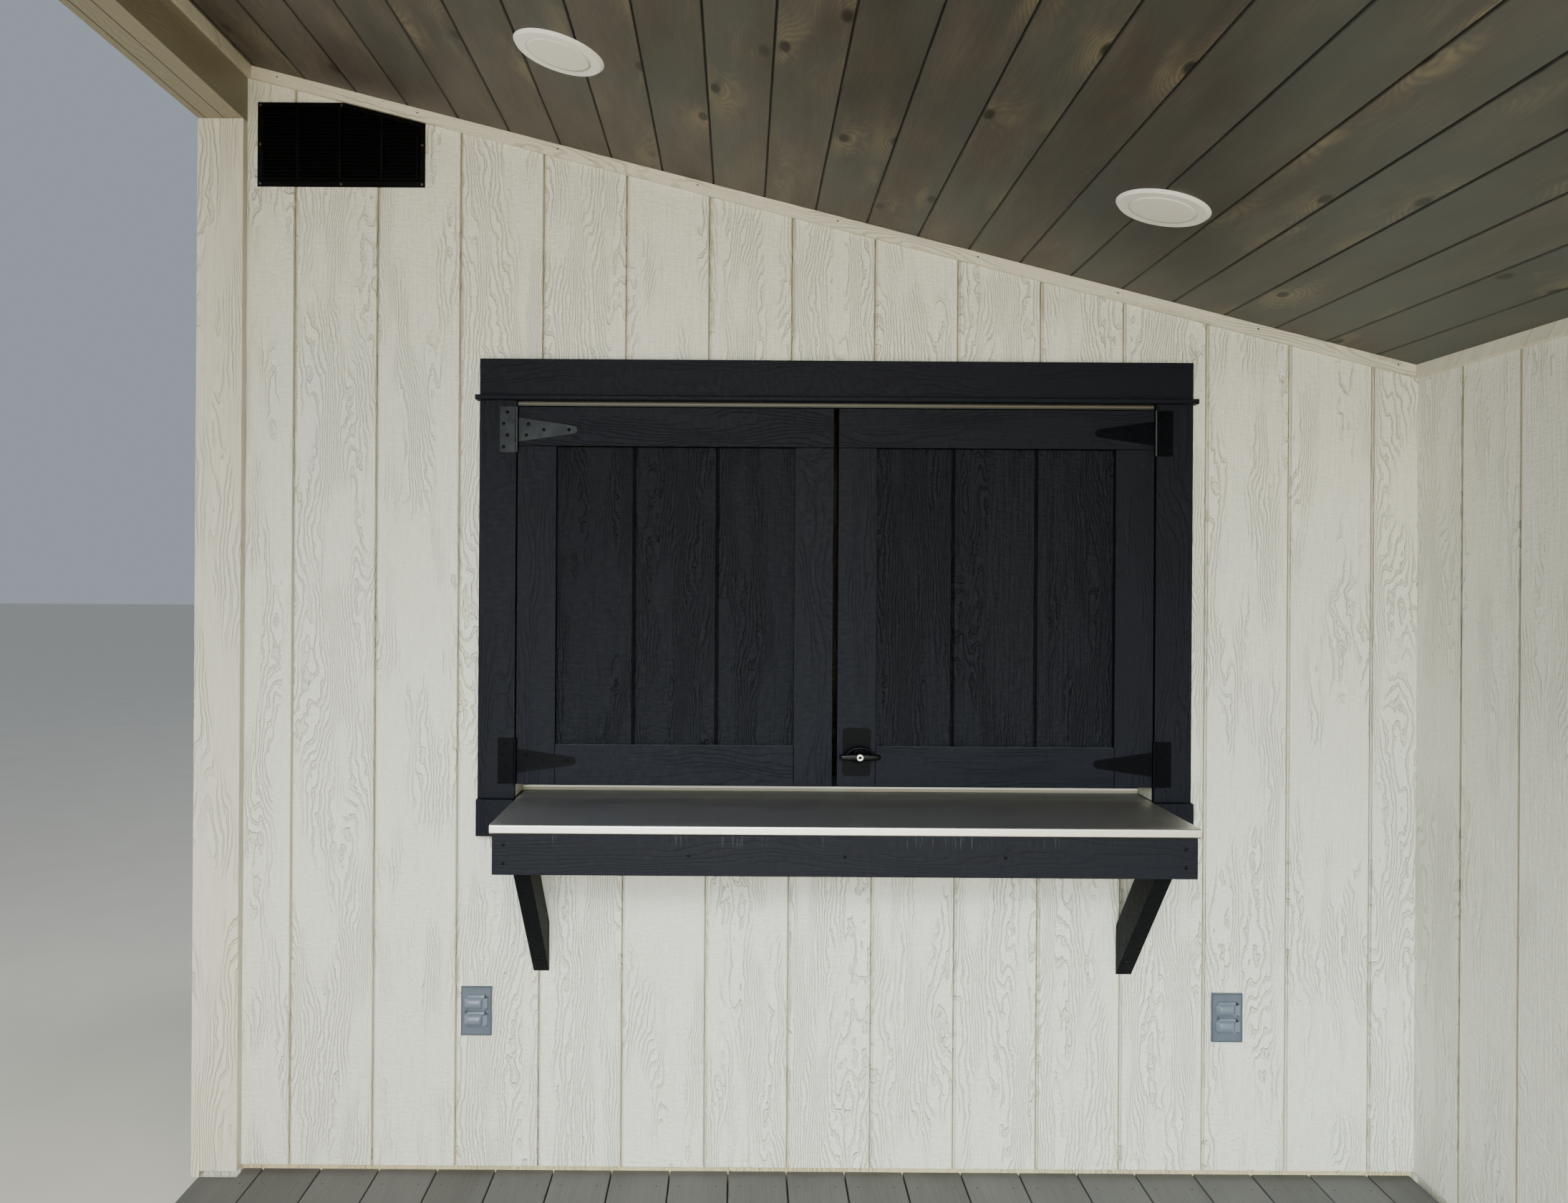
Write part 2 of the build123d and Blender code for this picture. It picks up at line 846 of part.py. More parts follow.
# Painted lining of the hatch opening, with a bar on the counter behind the shutters
counter_top_z = deck_top + counter_height
with BuildPart() as opening_lining:
    hatch_head_z = deck_top + lining_head
    block(hatch_left, hatch_right, hatch_y, hatch_back_y, hatch_head_z, hatch_head_z + lining_thickness)
    for x_from in (hatch_left - lining_thickness, hatch_right + end_gap):
        block(
            x_from,
            x_from + lining_thickness - end_gap,
            hatch_y,
            hatch_back_y,
            counter_top_z + seat_gap,
            hatch_head_z + lining_thickness,
        )
    bar_y = hatch_y + counter_inner_depth + seat_gap
    block(
        hatch_left + seat_gap,
        hatch_right - seat_gap,
        bar_y,
        bar_y + sill_bar_thickness,
        counter_top_z - counter_thickness,
        counter_top_z + sill_bar_height,
    )
save(opening_lining, "opening_lining")

# Shutters: a boarded panel behind a frame of two stiles and two rails
shutter_foot_z = deck_top + shutter_foot
shutter_top_z = deck_top + shutter_top
shutter_width = (hatch_width - 2 * shutter_side_gap - shutter_gap) / 2
left_shutter_x = hatch_left + shutter_side_gap
right_shutter_x = hatch_right - shutter_side_gap - shutter_width
frame_back_y = casing_face_y + frame_thickness


def shutter_frame_boards(x_from, x_to):
    """Stiles, a top rail across them and a bottom rail between them, as one glued frame."""
    block(x_from, x_to, casing_face_y, frame_back_y, shutter_foot_z, shutter_top_z)
    block(
        x_from + stile_width,
        x_to - stile_width,
        casing_face_y,
        frame_back_y,
        shutter_foot_z + bottom_rail_height,
        shutter_top_z - top_rail_height,
        mode=Mode.SUBTRACT,
    )


def shutter_panel_boards(x_from, x_to):
    """The grooved panel that closes the frame from behind."""
    face_y = frame_back_y + seat_gap
    block(x_from, x_to, face_y, face_y + panel_thickness, shutter_foot_z, shutter_top_z)
    middle = (x_from + x_to) / 2
    count = int((x_to - x_from) / 2 // shutter_groove_pitch)
    for i in range(-count, count + 1):
        groove_x = middle + (i - 0.5) * shutter_groove_pitch
        if x_from + stile_width < groove_x < x_to - stile_width:
            block(
                groove_x - groove_width / 2,
                groove_x + groove_width / 2,
                face_y,
                face_y + groove_depth,
                shutter_foot_z,
                shutter_top_z,
                mode=Mode.SUBTRACT,
            )


with BuildPart() as left_shutter_frame:
    shutter_frame_boards(left_shutter_x, left_shutter_x + shutter_width)
save(left_shutter_frame, "left_shutter_frame")

with BuildPart() as left_shutter_panel:
    shutter_panel_boards(left_shutter_x, left_shutter_x + shutter_width)
save(left_shutter_panel, "left_shutter_panel")

with BuildPart() as right_shutter_frame:
    shutter_frame_boards(right_shutter_x, right_shutter_x + shutter_width)
save(right_shutter_frame, "right_shutter_frame")

with BuildPart() as right_shutter_panel:
    shutter_panel_boards(right_shutter_x, right_shutter_x + shutter_width)
save(right_shutter_panel, "right_shutter_panel")

# T hinges: a plate on the casing with a pin and two knuckles, and a strap with one
pin_y = casing_face_y - knuckle_diameter / 2 - seat_gap
hinge_heights = (shutter_top_z - hinge_top_inset, shutter_foot_z + hinge_bottom_inset)
left_pin_x = hatch_left + shutter_side_gap / 2
right_pin_x = hatch_right - shutter_side_gap / 2
plate_back_y = casing_face_y - seat_gap


def hinge_butt(pin_x, turn, middle_z):
    """The fixed plate of one T hinge; turn is -1 where it lies to the left of its pin."""
    leaf_end = pin_x + turn * hinge_leaf
    half = hinge_height / 2
    notch = strap_root / 2 + knuckle_play
    block(
        min(pin_x, leaf_end),
        max(pin_x, leaf_end),
        plate_back_y - hinge_plate,
        plate_back_y,
        middle_z - half,
        middle_z + half,
    )
    notch_reach = knuckle_diameter / 2 + knuckle_play
    block(
        pin_x - notch_reach,
        pin_x + notch_reach,
        plate_back_y - hinge_plate - cut_past,
        plate_back_y + cut_past,
        middle_z - notch,
        middle_z + notch,
        mode=Mode.SUBTRACT,
    )
    for side in (-1, 1):
        with Locations((pin_x, pin_y, middle_z + side * (half + notch) / 2)):
            Cylinder(knuckle_diameter / 2, half - notch)
    with Locations((pin_x, pin_y, middle_z)):
        Cylinder(pin_diameter / 2, hinge_height)


def hinge_strap(pin_x, turn, middle_z):
    """The moving strap of one T hinge, from its knuckle to a rounded tip."""
    face = plate_back_y
    root = strap_root / 2
    start_x = pin_x + turn * strap_neck
    tip_x = pin_x + turn * (strap_length - strap_tip / 2)
    with BuildSketch(Plane.XZ.offset(-face)) as outline:
        with BuildLine():
            Polyline(
                (tip_x, middle_z - strap_tip / 2),
                (start_x, middle_z - root),
                (pin_x, middle_z - root),
                (pin_x, middle_z + root),
                (start_x, middle_z + root),
                (tip_x, middle_z + strap_tip / 2),
            )
            ThreePointArc(
                (tip_x, middle_z + strap_tip / 2),
                (tip_x + turn * strap_tip / 2, middle_z),
                (tip_x, middle_z - strap_tip / 2),
            )
        make_face()
    extrude(outline.sketch, amount=hinge_plate)
    with Locations((pin_x, pin_y, middle_z)):
        Cylinder(knuckle_diameter / 2, strap_root)
        Cylinder(pin_diameter / 2 + pin_clearance, strap_root + cut_past, mode=Mode.SUBTRACT)


with BuildPart() as hinge_butts:
    for middle_z in hinge_heights:
        hinge_butt(left_pin_x, -1, middle_z)
        hinge_butt(right_pin_x, 1, middle_z)
save(hinge_butts, "hinge_butts")

with BuildPart() as left_hinge_straps:
    for middle_z in hinge_heights:
        hinge_strap(left_pin_x, 1, middle_z)
save(left_hinge_straps, "left_hinge_straps")

with BuildPart() as right_hinge_straps:
    for middle_z in hinge_heights:
        hinge_strap(right_pin_x, -1, middle_z)
save(right_hinge_straps, "right_hinge_straps")

# Latch: a plate on the right shutter's stile and a T handle that turns in it
latch_x = right_shutter_x + latch_from_edge
latch_z = deck_top + latch_height
latch_face_y = casing_face_y - seat_gap
with BuildPart() as latch_plate:
    with BuildSketch(Plane.XZ.offset(-latch_face_y)) as plate_outline:
        with Locations((latch_x + latch_plate_shift, latch_z + latch_plate_rise)):
            RectangleRounded(latch_plate_width, latch_plate_height, latch_plate_corner)
    extrude(plate_outline.sketch, amount=latch_plate_thickness)
    with BuildSketch(Plane.XZ.offset(-latch_face_y + latch_plate_thickness)) as boss_outline:
        with Locations((latch_x, latch_z)):
            Circle(latch_boss_diameter / 2)
    extrude(boss_outline.sketch, amount=latch_boss_height, taper=latch_boss_draft)
    with Locations(Location((latch_x, latch_face_y, latch_z), (90, 0, 0))):
        Cylinder(
            latch_neck_diameter / 2 + pin_clearance,
            2 * latch_stand_off,
            mode=Mode.SUBTRACT,
        )
save(latch_plate, "latch_plate")

with BuildPart() as latch_handle:
    handle_back_y = latch_face_y - seat_gap
    bar_back_y = latch_face_y - latch_stand_off
    with BuildSketch(Plane.XZ.offset(-handle_back_y)) as neck_outline:
        with Locations((latch_x, latch_z)):
            Circle(latch_neck_diameter / 2)
    extrude(neck_outline.sketch, amount=handle_back_y - bar_back_y + latch_bar_depth / 2)
    with BuildSketch(Plane.XZ.offset(-bar_back_y)) as bar_outline:
        with Locations((latch_x, latch_z)):
            SlotOverall(latch_bar_length, latch_bar_width)
            Circle(lock_diameter / 2 + latch_lock_ring)
    extrude(bar_outline.sketch, amount=latch_bar_depth)
    fillet(latch_handle.faces().sort_by(Axis.Y)[0].edges(), radius=latch_bar_round)
    with BuildSketch(Plane.XZ.offset(-bar_back_y + latch_bar_depth)) as lock_outline:
        with Locations((latch_x, latch_z)):
            Circle(lock_diameter / 2)
    extrude(lock_outline.sketch, amount=lock_proud)
save(latch_handle, "latch_handle")

# Counter of sheet steel over a board, which passes through the wall
counter_left = hatch_left + counter_end_gap
counter_right = hatch_right - counter_end_gap
counter_front_y = hatch_y - counter_depth
with BuildPart() as counter_top:
    block(
        counter_left,
        counter_right,
        counter_front_y,
        hatch_y + counter_inner_depth,
        counter_top_z - counter_thickness,
        counter_top_z,
    )
    front_edges = counter_top.edges().filter_by(Axis.X).group_by(Axis.Y)[0]
    fillet(front_edges, radius=counter_edge_radius)
save(counter_top, "counter_top")

counter_foot_z = counter_top_z - counter_thickness - seat_gap
apron_face_y = counter_front_y + apron_set_back
apron_back_y = apron_face_y + apron_thickness
with BuildPart() as counter_apron:
    block(
        counter_left + apron_end_inset,
        counter_right - apron_end_inset,
        apron_face_y,
        apron_back_y,
        counter_foot_z - apron_height,
        counter_foot_z,
    )
save(counter_apron, "counter_apron")

# Braces from the wall to the underside of the counter, butted against the apron
with BuildPart() as counter_braces:
    brace_y = apron_back_y + seat_gap
    brace_foot_z = deck_top + brace_foot
    wall_y = hatch_y - seat_gap
    apron_foot_z = counter_foot_z - apron_height
    brace_rise = (apron_foot_z - brace_foot_z) / (wall_y - brace_y)
    upper_y = wall_y - (counter_foot_z - brace_foot_z - brace_contact) / brace_rise
    brace_outline = [
        (wall_y, brace_foot_z),
        (wall_y, brace_foot_z + brace_contact),
        (upper_y, counter_foot_z - seat_gap),
        (brace_y, counter_foot_z - seat_gap),
        (brace_y, apron_foot_z),
    ]
    for x_from in (counter_left + brace_inset, counter_right - brace_inset - brace_width):
        cross_prism(brace_outline, x_from, x_from + brace_width)
save(counter_braces, "counter_braces")

# Louvred vent high on the hatch wall
vent_centre_x = vent_from_corner - inner_half
vent_left = vent_centre_x - vent_width / 2
vent_foot = ceiling_z(vent_centre_x) - vent_below_ceiling - vent_height / 2
vent_right = vent_left + vent_width
vent_head = vent_foot + vent_height
vent_back_y = hatch_y - seat_gap


def vent_corner(inset, lift):
    """Outline of the vent with its high corner cut along the ceiling trim."""
    left = vent_left + inset
    right = vent_right - inset
    foot = vent_foot + inset
    head = vent_head - inset
    cut = deck_top + ceiling_at_middle - ceiling_trim_height - lift
    slope_start = (cut - head) / roof_slope
    return [
        (left, foot),
        (right, foot),
        (right, cut - roof_slope * right),
        (slope_start, head),
        (left, head),
    ]


def vent_ring(outer_inset, outer_lift, y_from, y_to):
    """A ring of the vent, from one outline in to the opening that holds the slats."""
    opening_inset = vent_flange + vent_flange_thickness
    with BuildSketch(Plane.XZ.offset(-y_to)) as ring:
        with BuildLine():
            Polyline(*vent_corner(outer_inset, outer_lift), close=True)
        make_face()
        with BuildLine():
            Polyline(*vent_corner(opening_inset, opening_inset), close=True)
        make_face(mode=Mode.SUBTRACT)
    extrude(ring.sketch, amount=y_to - y_from)


with BuildPart() as vent:
    screen_y = vent_back_y - vent_flange_thickness
    vent_face_y = vent_back_y - vent_depth
    slat_face_y = screen_y - vent_slat_depth
    slat_z = vent_foot + vent_flange
    while slat_z < vent_head - vent_flange:
        slat_outline = [
            (screen_y, slat_z + vent_slat_fall),
            (screen_y, slat_z + vent_slat_fall + vent_slat_thickness),
            (slat_face_y, slat_z + vent_slat_thickness),
            (slat_face_y, slat_z),
        ]
        cross_prism(slat_outline, vent_left, vent_right)
        slat_z += vent_slat_pitch
    for i in range(vent_rib_count):
        rib_x = vent_left + vent_width * (i + 1) / (vent_rib_count + 1)
        block(
            rib_x - vent_rib_width / 2,
            rib_x + vent_rib_width / 2,
            vent_face_y,
            screen_y,
            vent_foot,
            vent_head,
        )
    slat_seat = vent_flange + vent_flange_thickness / 2
    prism(vent_corner(slat_seat, slat_seat), vent_face_y, screen_y, mode=Mode.INTERSECT)
    vent_ring(vent_flange, vent_flange, vent_face_y, screen_y)
    prism(vent_corner(0, end_gap), screen_y, vent_back_y)
save(vent, "vent")

# Outlet covers: a plate with two flip lids, each hinged at its right edge
outlets = (
    (hatch_left - outlet_left_offset, outlet_left_z),
    (hatch_right + outlet_right_offset, outlet_right_z),
)
outlet_face_y = hatch_y - seat_gap - outlet_plate_thickness
lid_back_y = outlet_face_y - seat_gap
lid_pin_y = outlet_face_y - lid_barrel_diameter / 2 - seat_gap
barrel_length = lid_height - 2 * lid_barrel_inset


def outlet_plate(x, z):
    """One cover plate with the ears and pin that hold each of its two lids."""
    foot = deck_top + z - outlet_height / 2
    left = x - outlet_width / 2
    pin_x = x + lid_pin_from_centre
    block(left, left + outlet_width, outlet_face_y, hatch_y - seat_gap, foot, foot + outlet_height)
    for side in (-1, 1):
        lid_z = deck_top + z + side * lid_spacing / 2
        for ear_side in (-1, 1):
            ear_z = lid_z + ear_side * (barrel_length / 2 + seat_gap + lid_ear_thickness / 2)
            block(
                pin_x - lid_barrel_diameter / 2,
                pin_x + lid_barrel_diameter / 2,
                lid_pin_y,
                outlet_face_y,
                ear_z - lid_ear_thickness / 2,
                ear_z + lid_ear_thickness / 2,
            )
            with Locations((pin_x, lid_pin_y, ear_z)):
                Cylinder(lid_barrel_diameter / 2, lid_ear_thickness)
        with Locations((pin_x, lid_pin_y, lid_z)):
            Cylinder(lid_pin_diameter / 2, barrel_length + lid_ear_thickness)


def outlet_lid(x, z):
    """A bulged flip lid with two cut corners, on a barrel at its right edge."""
    left = x + lid_shift - lid_width / 2
    right = left + lid_width
    pin_x = x + lid_pin_from_centre
    half = lid_height / 2
    with BuildSketch(Plane.XZ.offset(-lid_back_y)) as lid_outline:
        with BuildLine():
            Polyline(
                (left + lid_corner, z - half),
                (right, z - half),
                (right, z + half),
                (left + lid_corner, z + half),
                (left, z + half - lid_corner),
                (left, z - half + lid_corner),
                close=True,
            )
        make_face()
    extrude(lid_outline.sketch, amount=lid_depth, taper=lid_draft)
    block(
        right - lid_corner,
        pin_x,
        lid_back_y - lid_barrel_diameter,
        lid_back_y - lid_barrel_diameter / 2,
        z - barrel_length / 2,
        z + barrel_length / 2,
    )
    with Locations((pin_x, lid_pin_y, z)):
        Cylinder(lid_barrel_diameter / 2, barrel_length)
        Cylinder(lid_pin_diameter / 2 + pin_clearance, barrel_length + cut_past, mode=Mode.SUBTRACT)


with BuildPart() as outlet_plates:
    for x, z in outlets:
        outlet_plate(x, z)
save(outlet_plates, "outlet_plates")

for outlet_name, (x, z) in zip(("left", "right"), outlets):
    for lid_name, side in (("lower", -1), ("upper", 1)):
        with BuildPart() as lid:
            outlet_lid(x, deck_top + z + side * lid_spacing / 2)
        save(lid, f"{outlet_name}_outlet_{lid_name}_lid")

# Plain door of the room, closed in its frame
door_face_x = -half_depth + door_set_back
door_back_x = door_face_x + door_thickness
with BuildPart() as room_door:
    block(
        door_face_x,
        door_back_x,
        door_near_y,
        door_far_y,
        door_foot + door_gap,
        door_foot + door_height,
    )
    panel_height = (door_height - 3 * door_rail) / 2
    for i in range(2):
        panel_foot = door_foot + door_rail + i * (panel_height + door_rail)
        block(
            door_face_x - cut_past,
            door_face_x + door_panel_recess,
            door_near_y + door_rail,
            door_far_y - door_rail,
            panel_foot,
            panel_foot + panel_height,
            mode=Mode.SUBTRACT,
        )
save(room_door, "room_door")

with BuildPart() as door_casing:
    casing_x = -half_depth - trim_thickness
    casing_back_x = -half_depth - seat_gap
    lining_near_y = doorway_near_y + trim_thickness
    lining_far_y = doorway_far_y - trim_thickness
    lining_head_z = doorway_head - trim_thickness
    stop_x = door_back_x + seat_gap
    stop_back_x = stop_x + door_stop_width
    sides = (
        (doorway_near_y + seat_gap, lining_near_y, lining_near_y - door_casing_width, 1),
        (lining_far_y, doorway_far_y - seat_gap, lining_far_y, -1),
    )
    for lining_from, lining_to, casing_from, turn in sides:
        block(
            casing_x,
            casing_back_x,
            casing_from,
            casing_from + door_casing_width,
            door_foot + end_gap,
            lining_head_z - end_gap,
        )
        block(-half_depth, -inner_half, lining_from, lining_to, door_foot + end_gap, lining_head_z - end_gap)
        stop_seat = lining_near_y if turn > 0 else lining_far_y
        stop_from, stop_to = sorted((stop_seat + turn * seat_gap, stop_seat + turn * door_stop_depth))
        block(
            stop_x,
            stop_back_x,
            stop_from,
            stop_to,
            door_foot + end_gap,
            lining_head_z - door_stop_depth - end_gap,
        )
    block(
        casing_x,
        casing_back_x,
        lining_near_y - door_casing_width,
        lining_far_y + door_casing_width,
        lining_head_z,
        lining_head_z + door_casing_width,
    )
    block(
        -half_depth,
        -inner_half,
        doorway_near_y + seat_gap,
        doorway_far_y - seat_gap,
        lining_head_z,
        doorway_head - seat_gap,
    )
    block(
        stop_x,
        stop_back_x,
        lining_near_y + seat_gap,
        lining_far_y - seat_gap,
        lining_head_z - door_stop_depth,
        lining_head_z - seat_gap,
    )
    block(
        casing_x,
        -inner_half - seat_gap,
        doorway_near_y + seat_gap,
        doorway_far_y - seat_gap,
        floor_top + seat_gap,
        door_foot,
    )
    block(
        -half_depth,
        -frame_half - seat_gap,
        doorway_near_y + seat_gap,
        doorway_far_y - seat_gap,
        siding_hang,
        floor_top,
    )
save(door_casing, "door_casing")
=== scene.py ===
"""The looks of a small pool house: a closed room behind an open porch, with a serving hatch between them.

Everything is in metres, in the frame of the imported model: the ground is at Z 0, the porch opens towards -X
and -Y, and the hatch wall faces -Y.
"""

from functools import partial

import bmesh
import bpy
import numpy as np
from mathutils import Matrix, Vector


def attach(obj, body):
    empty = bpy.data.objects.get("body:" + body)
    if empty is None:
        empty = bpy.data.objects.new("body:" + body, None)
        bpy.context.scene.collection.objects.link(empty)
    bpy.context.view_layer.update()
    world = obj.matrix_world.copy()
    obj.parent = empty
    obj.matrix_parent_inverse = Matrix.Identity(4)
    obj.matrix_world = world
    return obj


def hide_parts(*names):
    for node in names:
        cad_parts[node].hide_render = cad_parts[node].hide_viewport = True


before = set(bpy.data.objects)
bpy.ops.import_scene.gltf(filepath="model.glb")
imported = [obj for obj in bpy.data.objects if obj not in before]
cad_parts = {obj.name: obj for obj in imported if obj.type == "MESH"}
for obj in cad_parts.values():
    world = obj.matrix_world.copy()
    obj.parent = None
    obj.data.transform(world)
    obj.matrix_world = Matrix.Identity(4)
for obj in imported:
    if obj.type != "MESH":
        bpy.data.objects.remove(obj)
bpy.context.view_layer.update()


# Skids and floor frame
# Three skids lie on the ground along the building, with joists across them: sawn pine, pressure treated,
# so it is a dull green tan with darker growth lines, nailed together at the rims.
roof_fall = 0.25
full_wave = 6.283


def linear(hexes):
    """An sRGB hex colour as the linear colour that the shaders take, with full opacity."""
    srgb = np.array([int(hexes[i : i + 2], 16) for i in (1, 3, 5)]) / 255
    return (*np.where(srgb <= 0.04045, srgb / 12.92, ((srgb + 0.055) / 1.055) ** 2.4).tolist(), 1.0)


def add(tree, kind, links=None, give=0, stops=(), **settings):
    """Adds one node with its settings, a value or a link for each socket that is named, and its ramp's stops.
    It gives back one output."""
    node = tree.nodes.new("ShaderNode" + kind)
    for name, value in settings.items():
        setattr(node, name, value)
    for key, value in (links or {}).items():
        if isinstance(value, bpy.types.NodeSocket):
            tree.links.new(value, node.inputs[key])
        else:
            node.inputs[key].default_value = value
    for i, (place, colour) in enumerate(stops):
        points = node.color_ramp.elements
        point = points[i] if i < len(points) else points.new(place)
        point.position, point.color = place, linear(colour)
    return node.outputs[give] if node.outputs else None


def new_finish(name):
    """An empty material, and add() for its nodes."""
    material = bpy.data.materials.new(name)
    material.use_nodes = True
    material.node_tree.nodes.clear()
    return material, partial(add, material.node_tree)


def coordinate(n, axis):
    """The point's own place on one axis, in metres."""
    return n("SeparateXYZ", {0: n("TexCoord", give=3)}, give="xyz".index(axis))


def board_axes(n, run):
    """Two coordinates of a board in metres: across its faces, going round its edges, and along its grain. One
    that runs with the roof drops 3 in 12 towards +X."""
    x, y, z = (coordinate(n, axis) for axis in "xyz")
    if run == "roof":
        z = n("Math", {0: x, 1: roof_fall, 2: z}, operation="MULTIPLY_ADD")
    first, second, along = {"x": (y, z, x), "roof": (y, z, x), "y": (x, z, y), "z": (x, y, z)}[run]
    return n("Math", {0: first, 1: second}, operation="ADD"), along


def stretched(n, across, along, wide, long, shift=0.0, **extra):
    """Noise whose patches are wide metres across the grain and long metres along it."""
    place = n("CombineXYZ", {0: across, 1: along, 2: shift})
    scaled = n("VectorMath", {0: place, 1: (1 / wide, 1 / long, 1.0)}, operation="MULTIPLY")
    return n("TexNoise", {"Vector": scaled, "Scale": 1.0, **extra})


def sawn_timber(name, pale, dark, run, ring=0.008, rough=0.8, wander=30.0):
    """Sawn softwood: growth lines a ring apart that wander along the board, with torn fibres over them."""
    material, n = new_finish(name)
    across, along = board_axes(n, run)
    slow = stretched(n, across, along, 0.09, 0.9, Detail=2.0)
    drift = n("Math", {0: slow, 1: wander}, operation="MULTIPLY")
    phase = n("Math", {0: across, 1: full_wave / ring, 2: drift}, operation="MULTIPLY_ADD")
    wave = n("Math", {0: phase}, operation="SINE")
    lines = n("Math", {0: wave, 1: 0.5, 2: 0.5}, operation="MULTIPLY_ADD")
    fibre = stretched(n, across, along, 0.0015, 0.05, Detail=3.0)
    tone = n("Mix", {0: 0.45, 2: lines, 3: fibre}, data_type="FLOAT")
    colour = n("ValToRGB", {0: tone}, stops=[(0.15, dark), (0.8, pale)])
    relief = n("Bump", {"Strength": 0.6, "Distance": 0.0006, "Height": fibre})
    surface = n("BsdfPrincipled", {"Base Color": colour, "Roughness": rough, "IOR": 1.5, "Normal": relief})
    n("OutputMaterial", {"Surface": surface})
    return material


def dress(finish, *names):
    """Gives CAD pieces their finish."""
    for name in names:
        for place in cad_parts[name].material_slots:
            place.material = finish


dress(sawn_timber("pressure_treated_pine_along", "#9c8f6b", "#6f6547", "y"), "skids")
dress(sawn_timber("pressure_treated_pine_across", "#968a68", "#6b6145", "x"), "floor_frame")


# Room floor and roof sheet
# Plywood sheets nailed to the joists and the rafters: peeled softwood veneer with wide flame figure,
# warm tan with soft brown lines.
plywood = sawn_timber("softwood_plywood", "#c9a877", "#a37e50", "x", ring=0.034, rough=0.7, wander=55.0)
dress(plywood, "room_floor", "roof_sheathing")


# Rafters
# Planed pine on edge, cut to the slope and nailed over the ceiling boards: pale straw with close straight
# grain.
planed_pine = sawn_timber(
    "planed_pine_rafters", "#d9b88a", "#b98f5e", "x", ring=0.005, rough=0.65, wander=18.0
)
dress(planed_pine, "rafters")


# Porch deck
# Decking of wood fibre and plastic, extruded and brushed, so it is a dull grey brown with fine streaks along
# each board. The boards run out from the hatch wall with open gaps between them, and are screwed through
# their faces.
def board_number(n, at, first_edge, pitch):
    """Which board a point lies on, counted from the one that starts at first_edge."""
    off = n("Math", {0: at, 1: -first_edge}, operation="ADD")
    return n("Math", {0: n("Math", {0: off, 1: 1 / pitch}, operation="MULTIPLY")}, operation="FLOOR")


def extruded_decking(name, coat, worn, first_edge, pitch):
    """Extruded composite: brushed streaks 2 mm wide and 150 mm long, and a tone of its own for each board."""
    material, n = new_finish(name)
    across, along = board_axes(n, "y")
    board = board_number(n, coordinate(n, "x"), first_edge, pitch)
    own = n("TexWhiteNoise", {"W": board}, noise_dimensions="1D")
    streak = stretched(n, across, along, 0.002, 0.15, Detail=3.0, Roughness=0.6)
    cloud = stretched(n, across, along, 0.09, 0.5, Detail=3.0)
    tone = n("Math", {0: cloud, 1: 0.35}, operation="MULTIPLY")
    tone = n("Math", {0: streak, 1: 0.55, 2: tone}, operation="MULTIPLY_ADD")
    tone = n("Math", {0: own, 1: 0.16, 2: tone}, operation="MULTIPLY_ADD")
    colour = n("ValToRGB", {0: tone}, stops=[(0.3, worn), (0.72, coat)])
    relief = n("Bump", {"Strength": 0.5, "Distance": 0.0004, "Height": streak})
    surface = n("BsdfPrincipled", {"Base Color": colour, "Roughness": 0.62, "IOR": 1.48, "Normal": relief})
    n("OutputMaterial", {"Surface": surface})
    return material


def spun(centres, facing, profile, sides=14):
    """Turned shapes, one at each centre: at angle a, the profile's point (r, h) lies at
    centre + r cos(a) u + r sin(a) v + h n, where n is the way they face and u and v stand square to it."""
    n = np.array(facing, float) / np.linalg.norm(facing)
    u = np.cross((0.0, 0.0, 1.0) if abs(n[2]) < 0.9 else (1.0, 0.0, 0.0), n)
    u /= np.linalg.norm(u)
    v = np.cross(n, u)
    a = np.linspace(0, 2 * np.pi, sides, endpoint=False)[:, None]
    ring = np.cos(a) * u + np.sin(a) * v
    profile = np.array(profile, float)
    shape = profile[:, 0, None, None] * ring + profile[:, 1, None, None] * n
    return np.array(centres, float)[:, None, None, :] + shape


def place_mesh(name, grid, finish, body="building", smooth=True):
    """One piece from points on grids of two parameters, shaped (copies, rows, columns, 3): neighbours make a
    quad, the columns close round, and points that meet are merged."""
    grid = np.asarray(grid, float)
    here = np.arange(grid[..., 0].size).reshape(grid.shape[:3])
    beside = np.roll(here, -1, axis=2)
    quads = np.stack([here[:, :-1], beside[:, :-1], beside[:, 1:], here[:, 1:]], -1).reshape(-1, 4)
    mesh = bpy.data.meshes.new(name)
    mesh.from_pydata(grid.reshape(-1, 3).tolist(), [], quads.tolist())
    work = bmesh.new()
    work.from_mesh(mesh)
    bmesh.ops.remove_doubles(work, verts=work.verts, dist=2e-6)
    bmesh.ops.recalc_face_normals(work, faces=work.faces)
    work.to_mesh(mesh)
    work.free()
    mesh.polygons.foreach_set("use_smooth", np.full(len(mesh.polygons), smooth))
    mesh.materials.append(finish)
    piece = bpy.data.objects.new(name, mesh)
    bpy.context.scene.collection.objects.link(piece)
    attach(piece, body)
    return piece


def pan_head(radius, rise):
    """Profile of a screw head: a rounded rim, a dished drive in its middle and a flat underside."""
    unit = [(0, 0.25), (0.2, 0.25), (0.34, 0.98), (0.6, 0.94), (0.85, 0.62), (1, 0.12), (1, 0), (0, 0)]
    return np.array(unit) * (radius, rise)


up, to_porch = (0, 0, 1), (0, -1, 0)
deck_top = 0.25385
board_pitch, board_width, first_board = 0.1428, 0.1397, -1.52665
decking = extruded_decking("brushed_composite_decking", "#626262", "#474646", first_board, board_pitch)
dress(decking, "deck_boards")

